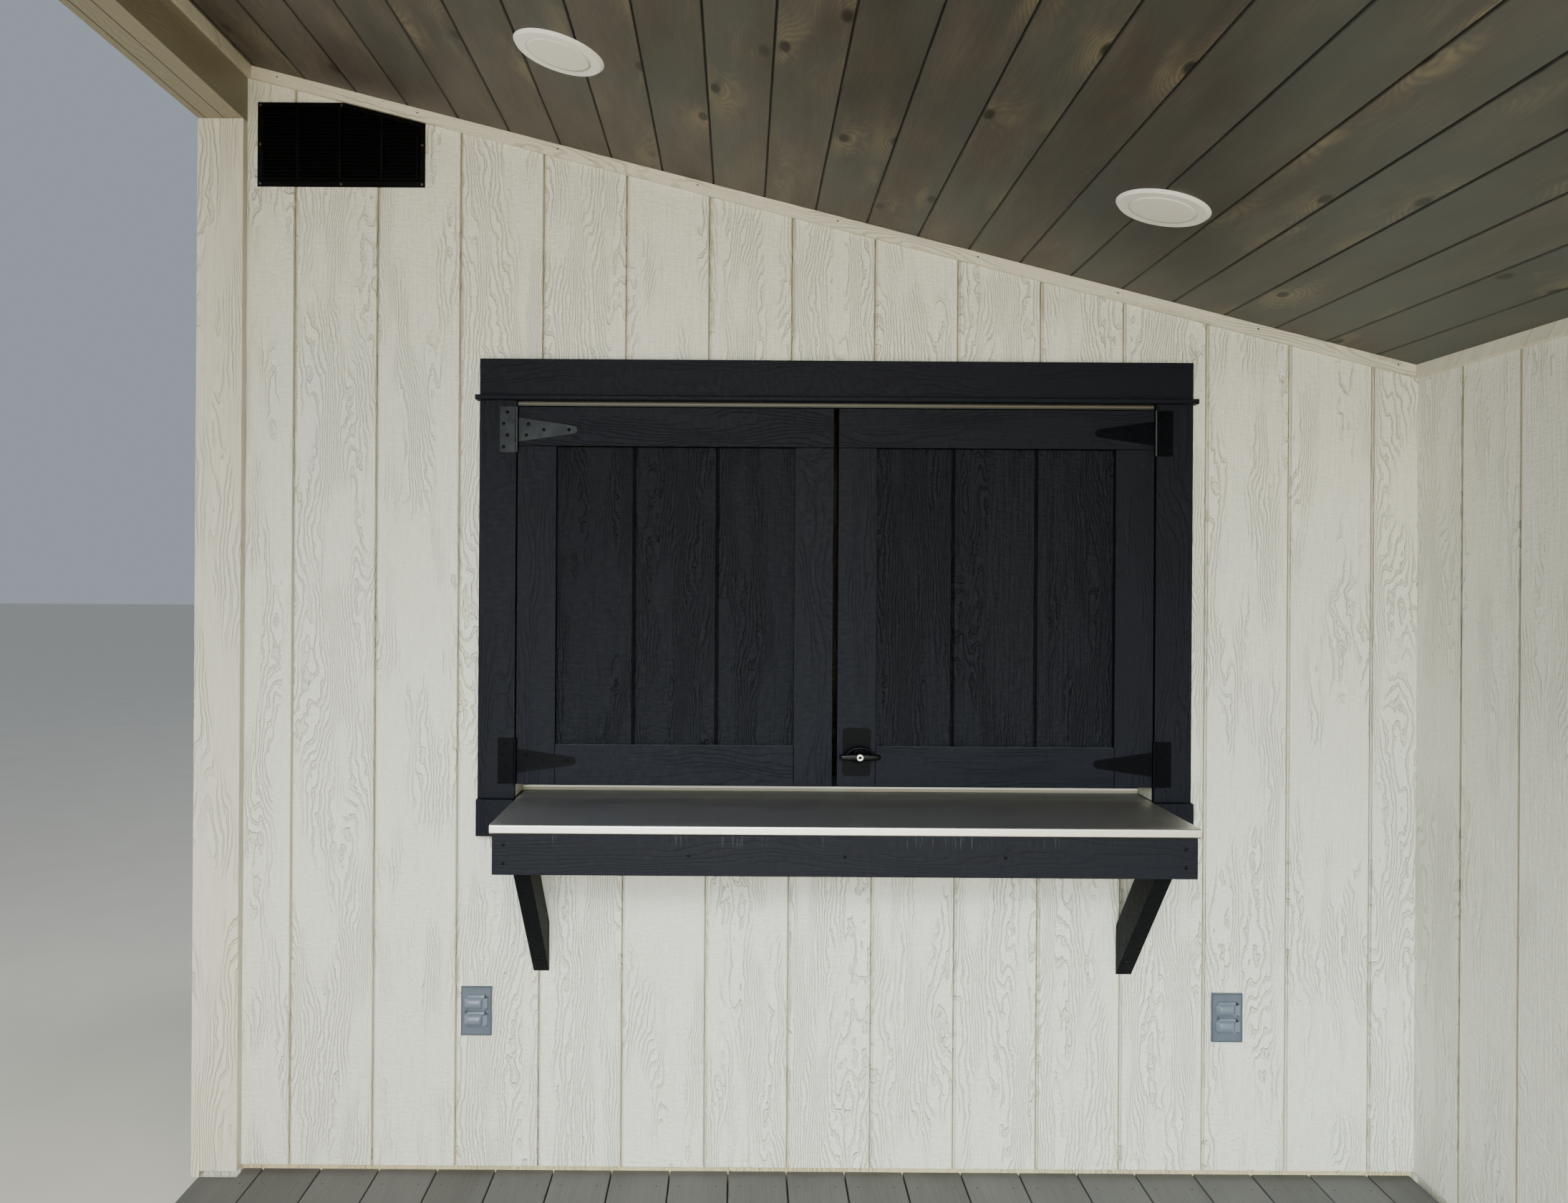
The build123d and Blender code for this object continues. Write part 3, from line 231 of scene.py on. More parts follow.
weathered, n = new_finish("weathered_screw_zinc")
speck = n("TexNoise", {"Vector": n("TexCoord", give=3), "Scale": 900.0, "Detail": 2.0})
tint = n("ValToRGB", {0: speck}, stops=[(0.35, "#3d3b37"), (0.65, "#67635b")])
surface = n("BsdfPrincipled", {"Base Color": tint, "Metallic": 0.6, "Roughness": 0.55})
n("OutputMaterial", {"Surface": surface})

row_by_wall, first_row, joist_pitch, screw_inset = 0.243, -2.706, 0.4163, 0.026
clear_of_posts, last_edge, near_post, far_post = -1.43, 1.43, -2.62, 0.2
rows = np.concatenate([[row_by_wall], first_row + joist_pitch * np.arange(7)])
lefts = first_board + board_pitch * np.arange(21)
lefts = lefts[lefts + board_width < last_edge]
screw_x = np.concatenate([lefts + screw_inset, lefts + board_width - screw_inset])
deck_spots = np.stack(np.meshgrid(screw_x, rows, [deck_top]), -1).reshape(-1, 3)
between_posts = (deck_spots[:, 1] > near_post) & (deck_spots[:, 1] < far_post)
deck_spots = deck_spots[(deck_spots[:, 0] > clear_of_posts) | between_posts]
place_mesh("deck_screws", spun(deck_spots, up, pan_head(0.0036, 0.0006), 10), weathered)


# Walls
# Fibreboard siding, pressed with a cedar grain and cut with an upright groove every eight inches, nailed to
# studs and painted off-white. Satin paint fills the finest lines, so the grain reads as soft wavy ridges.
def within(n, axis, low, high):
    """1 where the point's coordinate on one axis lies between two values, else 0."""
    middle, reach = (low + high) / 2, (high - low) / 2
    return n("Math", {0: coordinate(n, axis), 1: middle, 2: reach}, operation="COMPARE")


def both(n, first, second):
    """Where two masks are both 1."""
    return n("Math", {0: first, 1: second}, operation="MULTIPLY")


def either(n, first, second):
    """Where one of two masks is 1."""
    return n("Math", {0: first, 1: second}, operation="MAXIMUM")


def embossed_paint(
    name, coat, hollow_shade, run, line=0.0125, relief=0.0036, rough=0.5, ior=1.5, pebble=0.9, fray=0.014,
    strips=None, turned=None, marks=(),
):
    """Satin paint over pressed grain: wavering lines a line apart that come and go in patches, finer streaks
    between them, and level wrinkles on a pebbled ground. Towards the grain's hollows the coat turns darker:
    painted shade. Each strip (axis, first, pitch) has grain of its own. Where the mask in turned gives 1, the
    grain has its other run. Each mark (mask, colour, share) tints the coat and takes its sheen; some marks
    are dirt, joints or bare board, and some are painted shade or light."""
    material, n = new_finish(name)
    across, along = board_axes(n, run)
    if turned:
        mask, (other_across, other_along) = turned[0](n), board_axes(n, turned[1])
        across = n("Mix", {0: mask, 2: across, 3: other_across}, data_type="FLOAT")
        along = n("Mix", {0: mask, 2: along, 3: other_along}, data_type="FLOAT")
    own = 0.5
    if strips:
        axis, first, pitch = strips
        strip = board_number(n, coordinate(n, axis), first, pitch)
        own = n("TexWhiteNoise", {"W": strip}, noise_dimensions="1D")
        along = n("Math", {0: own, 1: 9.0, 2: along}, operation="MULTIPLY_ADD")
    sway = stretched(n, across, along, 0.13, 0.62, Detail=2.0, Roughness=0.5)
    sway = n("Math", {0: sway, 1: 0.24}, operation="MULTIPLY")
    fret = stretched(n, across, along, 0.02, 0.045, shift=9.0, Detail=3.0)
    sway = n("Math", {0: fret, 1: fray, 2: sway}, operation="MULTIPLY_ADD")
    bent = n("Math", {0: sway, 1: across}, operation="ADD")
    wave = n("Math", {0: n("Math", {0: bent, 1: full_wave / line}, operation="MULTIPLY")}, operation="SINE")
    groove = n("MapRange", {0: wave, 1: 0.45, 2: 0.92, 3: 1.0, 4: 0.0}, interpolation_type="SMOOTHSTEP")
    patch = stretched(n, across, along, 0.07, 0.40, shift=3.0, Detail=2.0)
    patch = n("Math", {0: own, 1: 0.16, 2: patch}, operation="MULTIPLY_ADD")
    patch = n("MapRange", {0: patch, 1: 0.50, 2: 0.64, 3: 0.0, 4: 1.0}, interpolation_type="SMOOTHSTEP")
    streak = stretched(n, across, along, 0.007, 0.11, shift=7.0, Detail=2.0, Roughness=0.6)
    wrinkle = stretched(n, across, along, 0.018, 0.008, shift=5.0, Detail=3.0, Roughness=0.6)
    ground = n("Math", {0: streak, 1: 0.9}, operation="MULTIPLY")
    ground = n("Math", {0: wrinkle, 1: pebble, 2: ground}, operation="MULTIPLY_ADD")
    height = n("Math", {0: groove, 1: patch, 2: ground}, operation="MULTIPLY_ADD")
    height = n("Math", {0: patch, 1: -0.75, 2: height}, operation="MULTIPLY_ADD")
    cloud = stretched(n, across, along, 0.5, 0.9, shift=1.0, Detail=2.0)
    tone = n("Math", {0: cloud, 1: 0.25}, operation="MULTIPLY")
    tone = n("Math", {0: height, 1: 0.42, 2: tone}, operation="MULTIPLY_ADD")
    # Towards the grain's hollows the colour goes darker than the coat: painted shade.
    colour = n("ValToRGB", {0: tone}, stops=[(0.25, hollow_shade), (0.55, coat)])
    sheen = 0.5
    for mask, tint, share in marks:
        part = n("Math", {0: mask(n), 1: share}, operation="MULTIPLY")
        colour = n("Mix", {0: part, 6: colour, 7: linear(tint)}, give=2, data_type="RGBA")
        left_over = n("Math", {0: 1.0, 1: part}, operation="SUBTRACT")
        sheen = n("Math", {0: left_over, 1: sheen}, operation="MULTIPLY")
    gloss = n("MapRange", {0: wrinkle, 1: 0.3, 2: 0.7, 3: rough - 0.06, 4: rough + 0.08})
    normal = n("Bump", {"Strength": 1.0, "Distance": relief, "Height": height})
    coating = {"Base Color": colour, "Roughness": gloss, "IOR": ior, "Specular IOR Level": sheen}
    n("OutputMaterial", {"Surface": n("BsdfPrincipled", {**coating, "Normal": normal})})
    return material


siding_pitch, groove_count, groove_depth, surface_skin = 0.2032, 14, 0.0050, 0.0003
porch_first_groove, side_first_groove, paint_foot = -1.3167, 0.1260, 0.2687
hatch_face, end_face, back_face_in, back_face_out, front_face = 0.3040, 2.7440, 1.4360, 1.5470, -1.5470


def grooves(axis, face, inward):
    """A mask of the grooves that are cut into one face of the siding, towards +1 or -1."""
    low, high = sorted((face + surface_skin * inward, face + groove_depth * inward))
    return lambda n: within(n, axis, low, high)


def groove_shadow(n):
    """1 along the left half of each groove in the hatch wall, which its own edge shades, else 0."""
    off = n("Math", {0: coordinate(n, "x"), 1: 0.002 - porch_first_groove}, operation="ADD")
    off = n("Math", {0: off, 1: siding_pitch / 2}, operation="PINGPONG")
    near = n("Math", {0: off, 1: 0.0017}, operation="LESS_THAN")
    return both(n, near, grooves("y", hatch_face, 1)(n))


def bare_foot(n):
    """1 on the siding's lowest edge by the deck, where the paint stops and the board shows, else 0."""
    return within(n, "z", 0.0, paint_foot)


siding_coat = dict(coat="#ebe9dc", hollow_shade="#dfdccd", run="z", line=0.0105, fray=0.02)
# The grooves are tinted darker and lose their sheen: partly dust, partly painted shade.
groove_dust_and_shade, outer_groove_dust_and_shade = "#a89b7d", "#9a8c6c"
porch_walls = embossed_paint(
    "satin_acrylic_on_porch_siding",
    relief=0.0044,
    strips=("x", porch_first_groove, siding_pitch),
    marks=(
        (grooves("y", hatch_face, 1), groove_dust_and_shade, 0.35),
        (groove_shadow, "#6f6249", 0.7),
        (grooves("y", end_face, -1), outer_groove_dust_and_shade, 0.5),
        (bare_foot, "#cdbf9c", 1.0),
    ),
    **siding_coat,
)
side_walls = embossed_paint(
    "satin_acrylic_on_side_siding",
    relief=0.0032,
    strips=("y", side_first_groove, siding_pitch),
    marks=(
        (grooves("x", back_face_in, 1), outer_groove_dust_and_shade, 0.5),
        (grooves("x", back_face_out, -1), outer_groove_dust_and_shade, 0.5),
        (grooves("x", front_face, 1), outer_groove_dust_and_shade, 0.5),
    ),
    **siding_coat,
)
dress(porch_walls, "hatch_wall_left", "hatch_wall_right", "hatch_wall_under", "hatch_wall_over", "end_wall")
dress(side_walls, "back_wall", "front_wall_near", "front_wall_far", "front_wall_over_door")

nail_from_groove, lowest_nail, nail_scatter, nail_rise = 0.018, 0.300, 0.008, 0.0004
siding_spots = [
    (
        porch_first_groove + siding_pitch * i + side * nail_from_groove,
        hatch_face - nail_rise,
        lowest_nail + nail_scatter * ((i * 7 + (side > 0) * 3) % 4),
    )
    for i in range(groove_count)
    for side in (-1, 1)
]
nail_head = [(0, 0.0004), (0.0026, 0.0004), (0.0034, 0.0002), (0.0036, -0.0004), (0, -0.0004)]
place_mesh("siding_nails", spun(siding_spots, to_porch, nail_head, 12), porch_walls)


# Trim, posts and headers
# Sawn-faced boards of the same pressed fibre, primed and painted off-white. They cover the corners, the open
# end of the hatch wall, the post and the beams, and the roof's edge, face nailed.
def seam(at):
    """The dark joint between two boards of the front beam, seen from below."""
    reach = 0.0016
    return (lambda n: within(n, "x", at - reach, at + reach), "#3d382b", 0.8)


def along_eaves(n):
    """1 on the fascia's boards along the eaves, which lie between the gables' boards, else 0."""
    gable_inner = 2.8745
    return within(n, "y", -gable_inner, gable_inner)


# The upright trim's coat is the siding's off-white made darker: painted shade.
upright_trim = embossed_paint("satin_acrylic_on_upright_trim", "#dcd6c6", "#cfc8b6", "z", pebble=0.25)
fascia_trim = embossed_paint(
    "satin_acrylic_on_long_trim", "#e6e2d5", "#d2ccbb", "roof", relief=0.0015, turned=(along_eaves, "y")
)
# The beams take the trim's off-white made beige-grey and far darker: painted shade under the roof's edge.
shaded_beam_coat = dict(coat="#8c8470", hollow_shade="#878069", relief=0.0006)
seams = [seam(-1.528), seam(-1.483)]
beam_paint = embossed_paint("shaded_acrylic_on_beams", run="y", marks=seams, **shaded_beam_coat)
end_beam_paint = embossed_paint("shaded_acrylic_on_end_beam", run="roof", **shaded_beam_coat)
cross_trim = embossed_paint("satin_acrylic_on_cross_trim", "#dfd9c8", "#cdc5b0", "roof", relief=0.0012)
dress(upright_trim, "jamb_board", "jamb_edge_trim", "corner_boards", "front_post", "door_casing")
dress(fascia_trim, "fascia")
dress(beam_paint, "front_header")
dress(end_beam_paint, "end_header")
dress(cross_trim, "ceiling_trim")


def ceiling_z(x):
    """How high the ceiling boards' underside is."""
    return 2.5995 - roof_fall * x


trim_face, nail_drop = 0.2916, 0.012
nail_x = np.linspace(-1.36, 1.38, 9)
trim_spots = np.stack([nail_x, np.full_like(nail_x, trim_face), ceiling_z(nail_x) - nail_drop], -1)
place_mesh("trim_nails", spun(trim_spots, to_porch, pan_head(0.0022, 0.0008), 10), weathered)


# Porch ceiling
# Tongued pine boards with a V at each joint, stained grey brown and nailed up under the rafters. Stain lies
# dark in the knots and thin on the hard grain round them, where golden swirls show through.
def stained_boards(name, first_joint, pitch):
    """Penetrating stain on knotty pine: each board has its own tone and its own stretch of figure. Round each
    knot, at distance d, the growth lines bulge by exp(-(d / 45 mm)^2), and the stain thins there."""
    across_cells, along_cells, knot_reach, growth_line = 8.02, 2.1, 0.045, 0.011
    material, n = new_finish(name)
    x, y = coordinate(n, "x"), coordinate(n, "y")
    board = board_number(n, x, first_joint, pitch)
    own = n("TexWhiteNoise", {"W": board}, noise_dimensions="1D")
    along = n("Math", {0: board, 1: 3.37, 2: y}, operation="MULTIPLY_ADD")
    cell_x = n("Math", {0: x, 1: across_cells}, operation="MULTIPLY")
    cells = n("CombineXYZ", {0: cell_x, 1: n("Math", {0: along, 1: along_cells}, operation="MULTIPLY")})
    layout = {"Vector": cells, "Scale": 1.0, "Randomness": 0.9}
    spot = n("TexVoronoi", layout, give=2, voronoi_dimensions="2D")
    chance = n("SeparateXYZ", {0: n("TexVoronoi", layout, give=1, voronoi_dimensions="2D")})
    gap = n("VectorMath", {0: spot, 1: cells}, operation="SUBTRACT")
    gap = n("VectorMath", {0: gap, 1: (1 / across_cells, 0.45 / along_cells, 0)}, operation="MULTIPLY")
    d = n("VectorMath", {0: gap}, give=1, operation="LENGTH")
    shown = n("MapRange", {0: chance, 1: 0.5, 2: 0.6, 3: 0.0, 4: 1.0})
    ratio = n("Math", {0: d, 1: 1 / knot_reach}, operation="MULTIPLY")
    square = n("Math", {0: ratio, 1: 2.0}, operation="POWER")
    bell = n("Math", {0: 2.718, 1: n("Math", {0: square, 1: -1.0}, operation="MULTIPLY")}, operation="POWER")
    bell = n("Math", {0: bell, 1: shown}, operation="MULTIPLY")
    sway = stretched(n, x, along, 0.10, 0.85, Detail=3.0)
    bent = n("Math", {0: sway, 1: 0.12, 2: x}, operation="MULTIPLY_ADD")
    bent = n("Math", {0: bell, 1: 0.075, 2: bent}, operation="MULTIPLY_ADD")
    phase = n("Math", {0: bent, 1: full_wave / growth_line}, operation="MULTIPLY")
    wave = n("Math", {0: phase}, operation="SINE")
    fibre = stretched(n, x, along, 0.0018, 0.07, Detail=3.0)
    cloud = stretched(n, x, along, 0.07, 0.32, shift=4.0, Detail=4.0, Roughness=0.6)
    tone = n("Math", {0: cloud, 1: 0.6}, operation="MULTIPLY")
    tone = n("Math", {0: wave, 1: 0.022, 2: tone}, operation="MULTIPLY_ADD")
    tone = n("Math", {0: fibre, 1: 0.22, 2: tone}, operation="MULTIPLY_ADD")
    tone = n("Math", {0: own, 1: 0.15, 2: tone}, operation="MULTIPLY_ADD")
    stain = n("ValToRGB", {0: tone}, stops=[(0.25, "#322c28"), (0.5, "#4b443e"), (0.8, "#6a6158")])
    haze = stretched(n, x, along, 0.16, 0.55, shift=8.0, Detail=3.0)
    haze = n("MapRange", {0: haze, 1: 0.35, 2: 0.65, 3: -0.15, 4: 0.45})
    cool = n("MapRange", {0: x, 1: -1.2, 2: 1.3, 3: -0.25, 4: 0.45})
    cool = n("Math", {0: haze, 1: cool}, operation="ADD", use_clamp=True)
    stain = n("Mix", {0: cool, 6: stain, 7: linear("#454b49")}, give=2, data_type="RGBA")
    swirl = n("Math", {0: wave, 1: 0.35, 2: 0.65}, operation="MULTIPLY_ADD")
    veil = n("MapRange", {0: cloud, 1: 0.46, 2: 0.60, 3: 0.0, 4: 0.8})
    thin = n("Math", {0: n("Math", {0: bell, 1: swirl}, operation="MULTIPLY"), 1: veil}, operation="MULTIPLY")
    stain = n("Mix", {0: thin, 6: stain, 7: linear("#86795c")}, give=2, data_type="RGBA")
    core = n("MapRange", {0: d, 1: 0.006, 2: 0.014, 3: 1.0, 4: 0.0}, interpolation_type="SMOOTHSTEP")
    core = n("Math", {0: core, 1: shown}, operation="MULTIPLY")
    stain = n("Mix", {0: core, 6: stain, 7: linear("#241f1a")}, give=2, data_type="RGBA")
    off = n("Math", {0: x, 1: -first_joint}, operation="ADD")
    off = n("Math", {0: off, 1: pitch / 2}, operation="PINGPONG")
    joint = n("MapRange", {0: off, 1: 0.0016, 2: 0.0034, 3: 0.9, 4: 0.0})
    stain = n("Mix", {0: joint, 6: stain, 7: linear("#0f0d0b")}, give=2, data_type="RGBA")
    normal = n("Bump", {"Strength": 0.5, "Distance": 0.0003, "Height": fibre})
    surface = n("BsdfPrincipled", {"Base Color": stain, "Roughness": 0.55, "IOR": 1.5, "Normal": normal})
    n("OutputMaterial", {"Surface": surface})
    return material


dress(stained_boards("penetrating_stain_on_knotty_pine", first_joint=-0.5422, pitch=0.1247), "porch_ceiling")


# Downlights
# Slim round lights pushed up into the boards on spring clips: a moulded white plastic ring with an opal lens
# set a little back in it.
def moulded_plastic(name, colour, rough):
    """Injection-moulded plastic: an even colour with a faint orange peel 2 mm across."""
    material, n = new_finish(name)
    peel = n("TexNoise", {"Vector": n("TexCoord", give=3), "Scale": 500.0, "Detail": 1.0})
    tone = n("MapRange", {0: peel, 3: 0.97, 4: 1.0})
    shade = n("HueSaturation", {"Value": tone, "Color": linear(colour)})
    normal = n("Bump", {"Strength": 0.3, "Distance": 0.0001, "Height": peel})
    surface = n("BsdfPrincipled", {"Base Color": shade, "Roughness": rough, "IOR": 1.46, "Normal": normal})
    n("OutputMaterial", {"Surface": surface})
    return material


dress(moulded_plastic("moulded_white_ring", "#fbfaf6", 0.35), "downlights")
opal = moulded_plastic("opal_lens", "#f3f0e8", 0.6)
roof_down, lights_y, ring_drop = (-0.2425, 0.0, -0.9701), -0.265, 0.0063
lens_profile = [(0, 0.0012), (0.03, 0.0011), (0.058, 0.0007), (0.066, 0.0), (0, 0)]
for name, x in (("left_light_lens", -0.5858), ("right_light_lens", 0.6051)):
    low = np.array([[x, lights_y, ceiling_z(x)]]) + np.array(roof_down) * ring_drop
    place_mesh(name, spun(low, roof_down, lens_profile, 48), opal)


# Roof
# Steel sheet rolled into raised ribs nine inches apart, coil coated dark grey, laid down the slope and fixed
# through its flats with washered screws.
coated, n = new_finish("coil_coated_steel")
place = n("TexCoord", give=3)
belly = n("TexNoise", {"Vector": place, "Scale": 2.2, "Detail": 2.0})
spangle = n("TexNoise", {"Vector": place, "Scale": 160.0, "Detail": 2.0})
tint = n("ValToRGB", {0: spangle}, stops=[(0.3, "#3a3d40"), (0.7, "#45484b")])
normal = n("Bump", {"Strength": 0.4, "Distance": 0.01, "Height": belly})
surface = n("BsdfPrincipled", {"Base Color": tint, "Roughness": 0.36, "IOR": 1.5, "Normal": normal})
n("OutputMaterial", {"Surface": surface})
dress(coated, "metal_roof")

roof_up, rib_pitch, sheet_middle_z = (0.2425, 0, 0.9701), 0.229, 2.7802
screw_rows, screw_from_rib = (-1.70, -1.20, -0.60, 0.0, 0.60, 1.20, 1.70), 0.072
row_x, flat_y = np.meshgrid(screw_rows, rib_pitch * np.arange(-12, 13) + screw_from_rib)
roof_spots = np.stack([row_x, flat_y, sheet_middle_z - roof_fall * row_x], -1).reshape(-1, 3)
washered_head = [
    (0, 0.0058), (0.0040, 0.0058), (0.0047, 0.0050), (0.0047, 0.0016), (0.0072, 0.0013),
    (0.0078, -0.0002), (0, -0.0002),
]
place_mesh("roof_screws", spun(roof_spots, roof_up, washered_head, 12), coated)


# Hatch casing
# Sawn-faced boards round the opening, painted charcoal: a head board over a drip ledge, two side boards, and
# a thicker block under each. The paint is satin over a shallow grain; the faint blue that it takes from the
# sky is painted into its colour.
charcoal = dict(coat="#0c0e19", hollow_shade="#0a0b15", rough=0.58, ior=1.25)
charcoal_up = embossed_paint("charcoal_paint_on_upright_boards", run="z", relief=0.0007, **charcoal)
charcoal_level = embossed_paint("charcoal_paint_on_level_boards", run="x", relief=0.0003, **charcoal)
dress(charcoal_up, "side_casings", "plinth_blocks")
dress(charcoal_level, "head_casing", "drip_ledge")


# Hatch lining
# Planed boards that line the opening, left in brushed cream undercoat, with faint marks along each board.
# Over the shutters the head board is painted in black and brown bands, painted shade under the drip ledge,
# and the stop below them is painted black along its top, a painted shadow of the gap under the shutters,
# over a darker beige foot.
lining_head, sill_stop_y, sill_stop_z = (2.1200, 2.1600), (0.4050, 0.4300), (1.1000, 1.2200)
head_low, head_high, stop_low, stop_high = 2.12, 2.15, 1.165, 1.195
cream, n = new_finish("brushed_cream_undercoat")
across, along = board_axes(n, "x")
brushed = stretched(n, across, along, 0.0012, 0.12, Detail=2.0)
tint = n("ValToRGB", {0: brushed}, stops=[(0.3, "#d9d2bf"), (0.7, "#e8e3d4")])
normal = n("Bump", {"Strength": 0.4, "Distance": 0.0002, "Height": brushed})
level = coordinate(n, "z")
# Painted shade on the head board: a black shadow line, then the cream in shade as brown and tan bands.
gap_shadow_black, shaded_edge_brown, shaded_head_dark, shaded_head_tan = "#080807", "#37332a", "#221f18", "#665e47"
head_shade_stops = [
    (0.27, gap_shadow_black), (0.29, shaded_edge_brown), (0.37, shaded_edge_brown), (0.39, shaded_head_dark), (0.48, shaded_head_dark),
    (0.51, shaded_head_tan), (0.59, shaded_head_tan), (0.62, shaded_head_dark),
]
head = n("ValToRGB", {0: n("MapRange", {0: level, 1: head_low, 2: head_high})}, stops=head_shade_stops)
tint = n("Mix", {0: within(n, "z", *lining_head), 6: tint, 7: head}, give=2, data_type="RGBA")
stop = both(n, within(n, "y", *sill_stop_y), within(n, "z", *sill_stop_z))
# The stop's face: darker beige at its foot, clean cream, then black along its top as a painted shadow.
low_beige, clean, painted_gap_shadow = "#a79f8d", "#e6e3da", "#060708"
face_stops = [(0.2, low_beige), (0.47, low_beige), (0.50, clean), (0.64, clean), (0.66, painted_gap_shadow)]
face = n("ValToRGB", {0: n("MapRange", {0: level, 1: stop_low, 2: stop_high})}, stops=face_stops)
tint = n("Mix", {0: stop, 6: tint, 7: face}, give=2, data_type="RGBA")
sheen = n("MapRange", {0: stop, 3: 0.5, 4: 0.04})
coating = {"Base Color": tint, "Roughness": 0.5, "IOR": 1.5, "Specular IOR Level": sheen, "Normal": normal}
n("OutputMaterial", {"Surface": n("BsdfPrincipled", coating)})
dress(cream, "opening_lining")


# Shutters
# Two leaves, each a grooved panel of the wall's siding behind a glued frame of boards, all painted charcoal.
# The panels keep the deep cedar grain, and the frame's rails have theirs along the rail.
leaf_foot, leaf_top, rail_height, stile_width = 1.208, 2.1256, 0.095, 0.093
low_rail_top, high_rail_foot = leaf_foot + rail_height, leaf_top - rail_height
joint_and_groove_shade_black, joint_reach = "#020203", 0.001


def along_rails(left, right):
    """A mask of the top rail, and of the bottom rail between the stiles."""

    def mask(n):
        x, z = coordinate(n, "x"), coordinate(n, "z")
        top = n("Math", {0: z, 1: high_rail_foot}, operation="GREATER_THAN")
        low = n("Math", {0: z, 1: low_rail_top}, operation="LESS_THAN")
        past_left = n("Math", {0: x, 1: left + stile_width}, operation="GREATER_THAN")
        before_right = n("Math", {0: x, 1: right - stile_width}, operation="LESS_THAN")
        return either(n, top, both(n, low, both(n, past_left, before_right)))

    return mask


def foot_joint(at):
    """A mask of the joint between a stile and the bottom rail."""
    return lambda n: both(
        n, within(n, "x", at - joint_reach, at + joint_reach), within(n, "z", leaf_foot - 0.008, low_rail_top)
    )


def top_joint(n):
    """1 on the joint under the top rail, else 0."""
    return within(n, "z", high_rail_foot - joint_reach, high_rail_foot + joint_reach)


def dust_and_highlight_ledge(n):
    """1 on the bottom rail's upper edge, where dust lies and which is painted lighter as a highlight from
    above, else 0.
    """
    depth = within(n, "y", 0.2858, 0.3045)
    return both(n, depth, within(n, "z", low_rail_top - 0.0014, low_rail_top + 0.0006))


for side, left, right in (("left", -0.7644, 0.0032), ("right", 0.0162, 0.7838)):
    joints = [(foot_joint(at), joint_and_groove_shade_black, 0.85) for at in (left + stile_width, right - stile_width)]
    joints += [(top_joint, joint_and_groove_shade_black, 0.85), (dust_and_highlight_ledge, "#74777d", 0.85)]
    framing = embossed_paint(
        f"charcoal_paint_on_{side}_frame",
        run="z",
        relief=0.0006,
        marks=joints,
        turned=(along_rails(left, right), "x"),
        **charcoal,
    )
    dress(framing, f"{side}_shutter_frame")
panel_paint = embossed_paint(
    "charcoal_paint_on_pressed_panel",
    coat="#0b0d17",
    hollow_shade="#08090f",
    run="z",
    line=0.009,
    relief=0.0026,
    rough=0.58,
    ior=1.25,
    fray=0.018,
    strips=("x", -0.4822, siding_pitch),
    # The panel's grooves are darkened with the joints' black: painted shade in the grooves.
    marks=[(lambda n: within(n, "y", 0.3046, 0.3090), joint_and_groove_shade_black, 0.62)],
)
dress(panel_paint, "left_shutter_panel", "right_shutter_panel")


# T hinges
# Pressed steel, powder coated semi-gloss black: a plate screwed to the casing, a tapered strap screwed to the
# shutter, and a pin through their knuckles. Four pan-headed screws hold each part.
def powder_coat(name, colour, rough, peel=0.0008, ior=1.3, marks=()):
    """Baked powder: a smooth skin with orange peel about a millimetre across, and a slightly uneven gloss.
    The index may be a function, for a coat that shines more in some places. Each mark (mask, colour, share)
    tints the coat."""
    material, n = new_finish(name)
    skin = n("TexNoise", {"Vector": n("TexCoord", give=3), "Scale": 1 / peel, "Detail": 1.0})
    haze = n("TexNoise", {"Vector": n("TexCoord", give=3), "Scale": 40.0, "Detail": 3.0})
    shade = n("HueSaturation", {"Value": n("MapRange", {0: haze, 3: 0.85, 4: 1.12}), "Color": linear(colour)})
    gloss = n("MapRange", {0: haze, 1: 0.3, 2: 0.7, 3: rough - 0.05, 4: rough + 0.06})
    ior = ior(n) if callable(ior) else ior
    for mask, tint, share in marks:
        part = n("Math", {0: mask(n), 1: share}, operation="MULTIPLY")
        shade = n("Mix", {0: part, 6: shade, 7: linear(tint)}, give=2, data_type="RGBA")
    normal = n("Bump", {"Strength": 0.5, "Distance": 0.00012, "Height": skin})
    surface = n("BsdfPrincipled", {"Base Color": shade, "Roughness": gloss, "IOR": ior, "Normal": normal})
    n("OutputMaterial", {"Surface": surface})
    return material


def hinge_painted_sheen(n):
    """The coat's index: 1.13, but 1.24 on the upper left hinge and 1.4 on the upper barrels: a painted sheen,
    so that these shine more than the rest."""
    high = within(n, "z", 1.9, 2.3)
    painted_sheen_hinge = both(n, high, within(n, "x", -0.9, -0.5))
    barrels = either(n, within(n, "x", -0.7699, -0.7639), within(n, "x", 0.7833, 0.7893))
    index = n("MapRange", {0: painted_sheen_hinge, 3: 1.13, 4: 1.24})
    return n("Mix", {0: both(n, high, barrels), 2: index, 3: 1.4}, data_type="FLOAT")


# The black coat's faint blue is a painted reflection of the sky.
black_coat = powder_coat("semi_gloss_black_powder_coat", "#04050a", 0.33, ior=hinge_painted_sheen)
dress(black_coat, "hinge_butts", "left_hinge_straps", "right_hinge_straps", "latch_plate")
screw_black = powder_coat("black_oxide_screw", "#040405", 0.3, ior=1.2)
hinge_heights, hinge_face = (2.0701, 1.2645), 0.2822
plate_holes = [(0.024, 0.042), (0.033, 0.014), (0.024, -0.014), (0.033, -0.042)]
strap_holes = [(0.027, 0.0135), (0.0225, -0.0135), (0.065, 0.0), (0.126, 0.0)]
for side, pin_x, inward in (("left", -0.7669, 1), ("right", 0.7863, -1)):
    for part, holes, way, body in (
        ("plate", plate_holes, -inward, "building"),
        ("strap", strap_holes, inward, f"{side}_shutter"),
    ):
        spots = [(pin_x + way * out, hinge_face, z + rise) for z in hinge_heights for out, rise in holes]
        heads = spun(spots, to_porch, pan_head(0.0042, 0.0018), 16)
        place_mesh(f"{side}_{part}_screws", heads, screw_black, body)


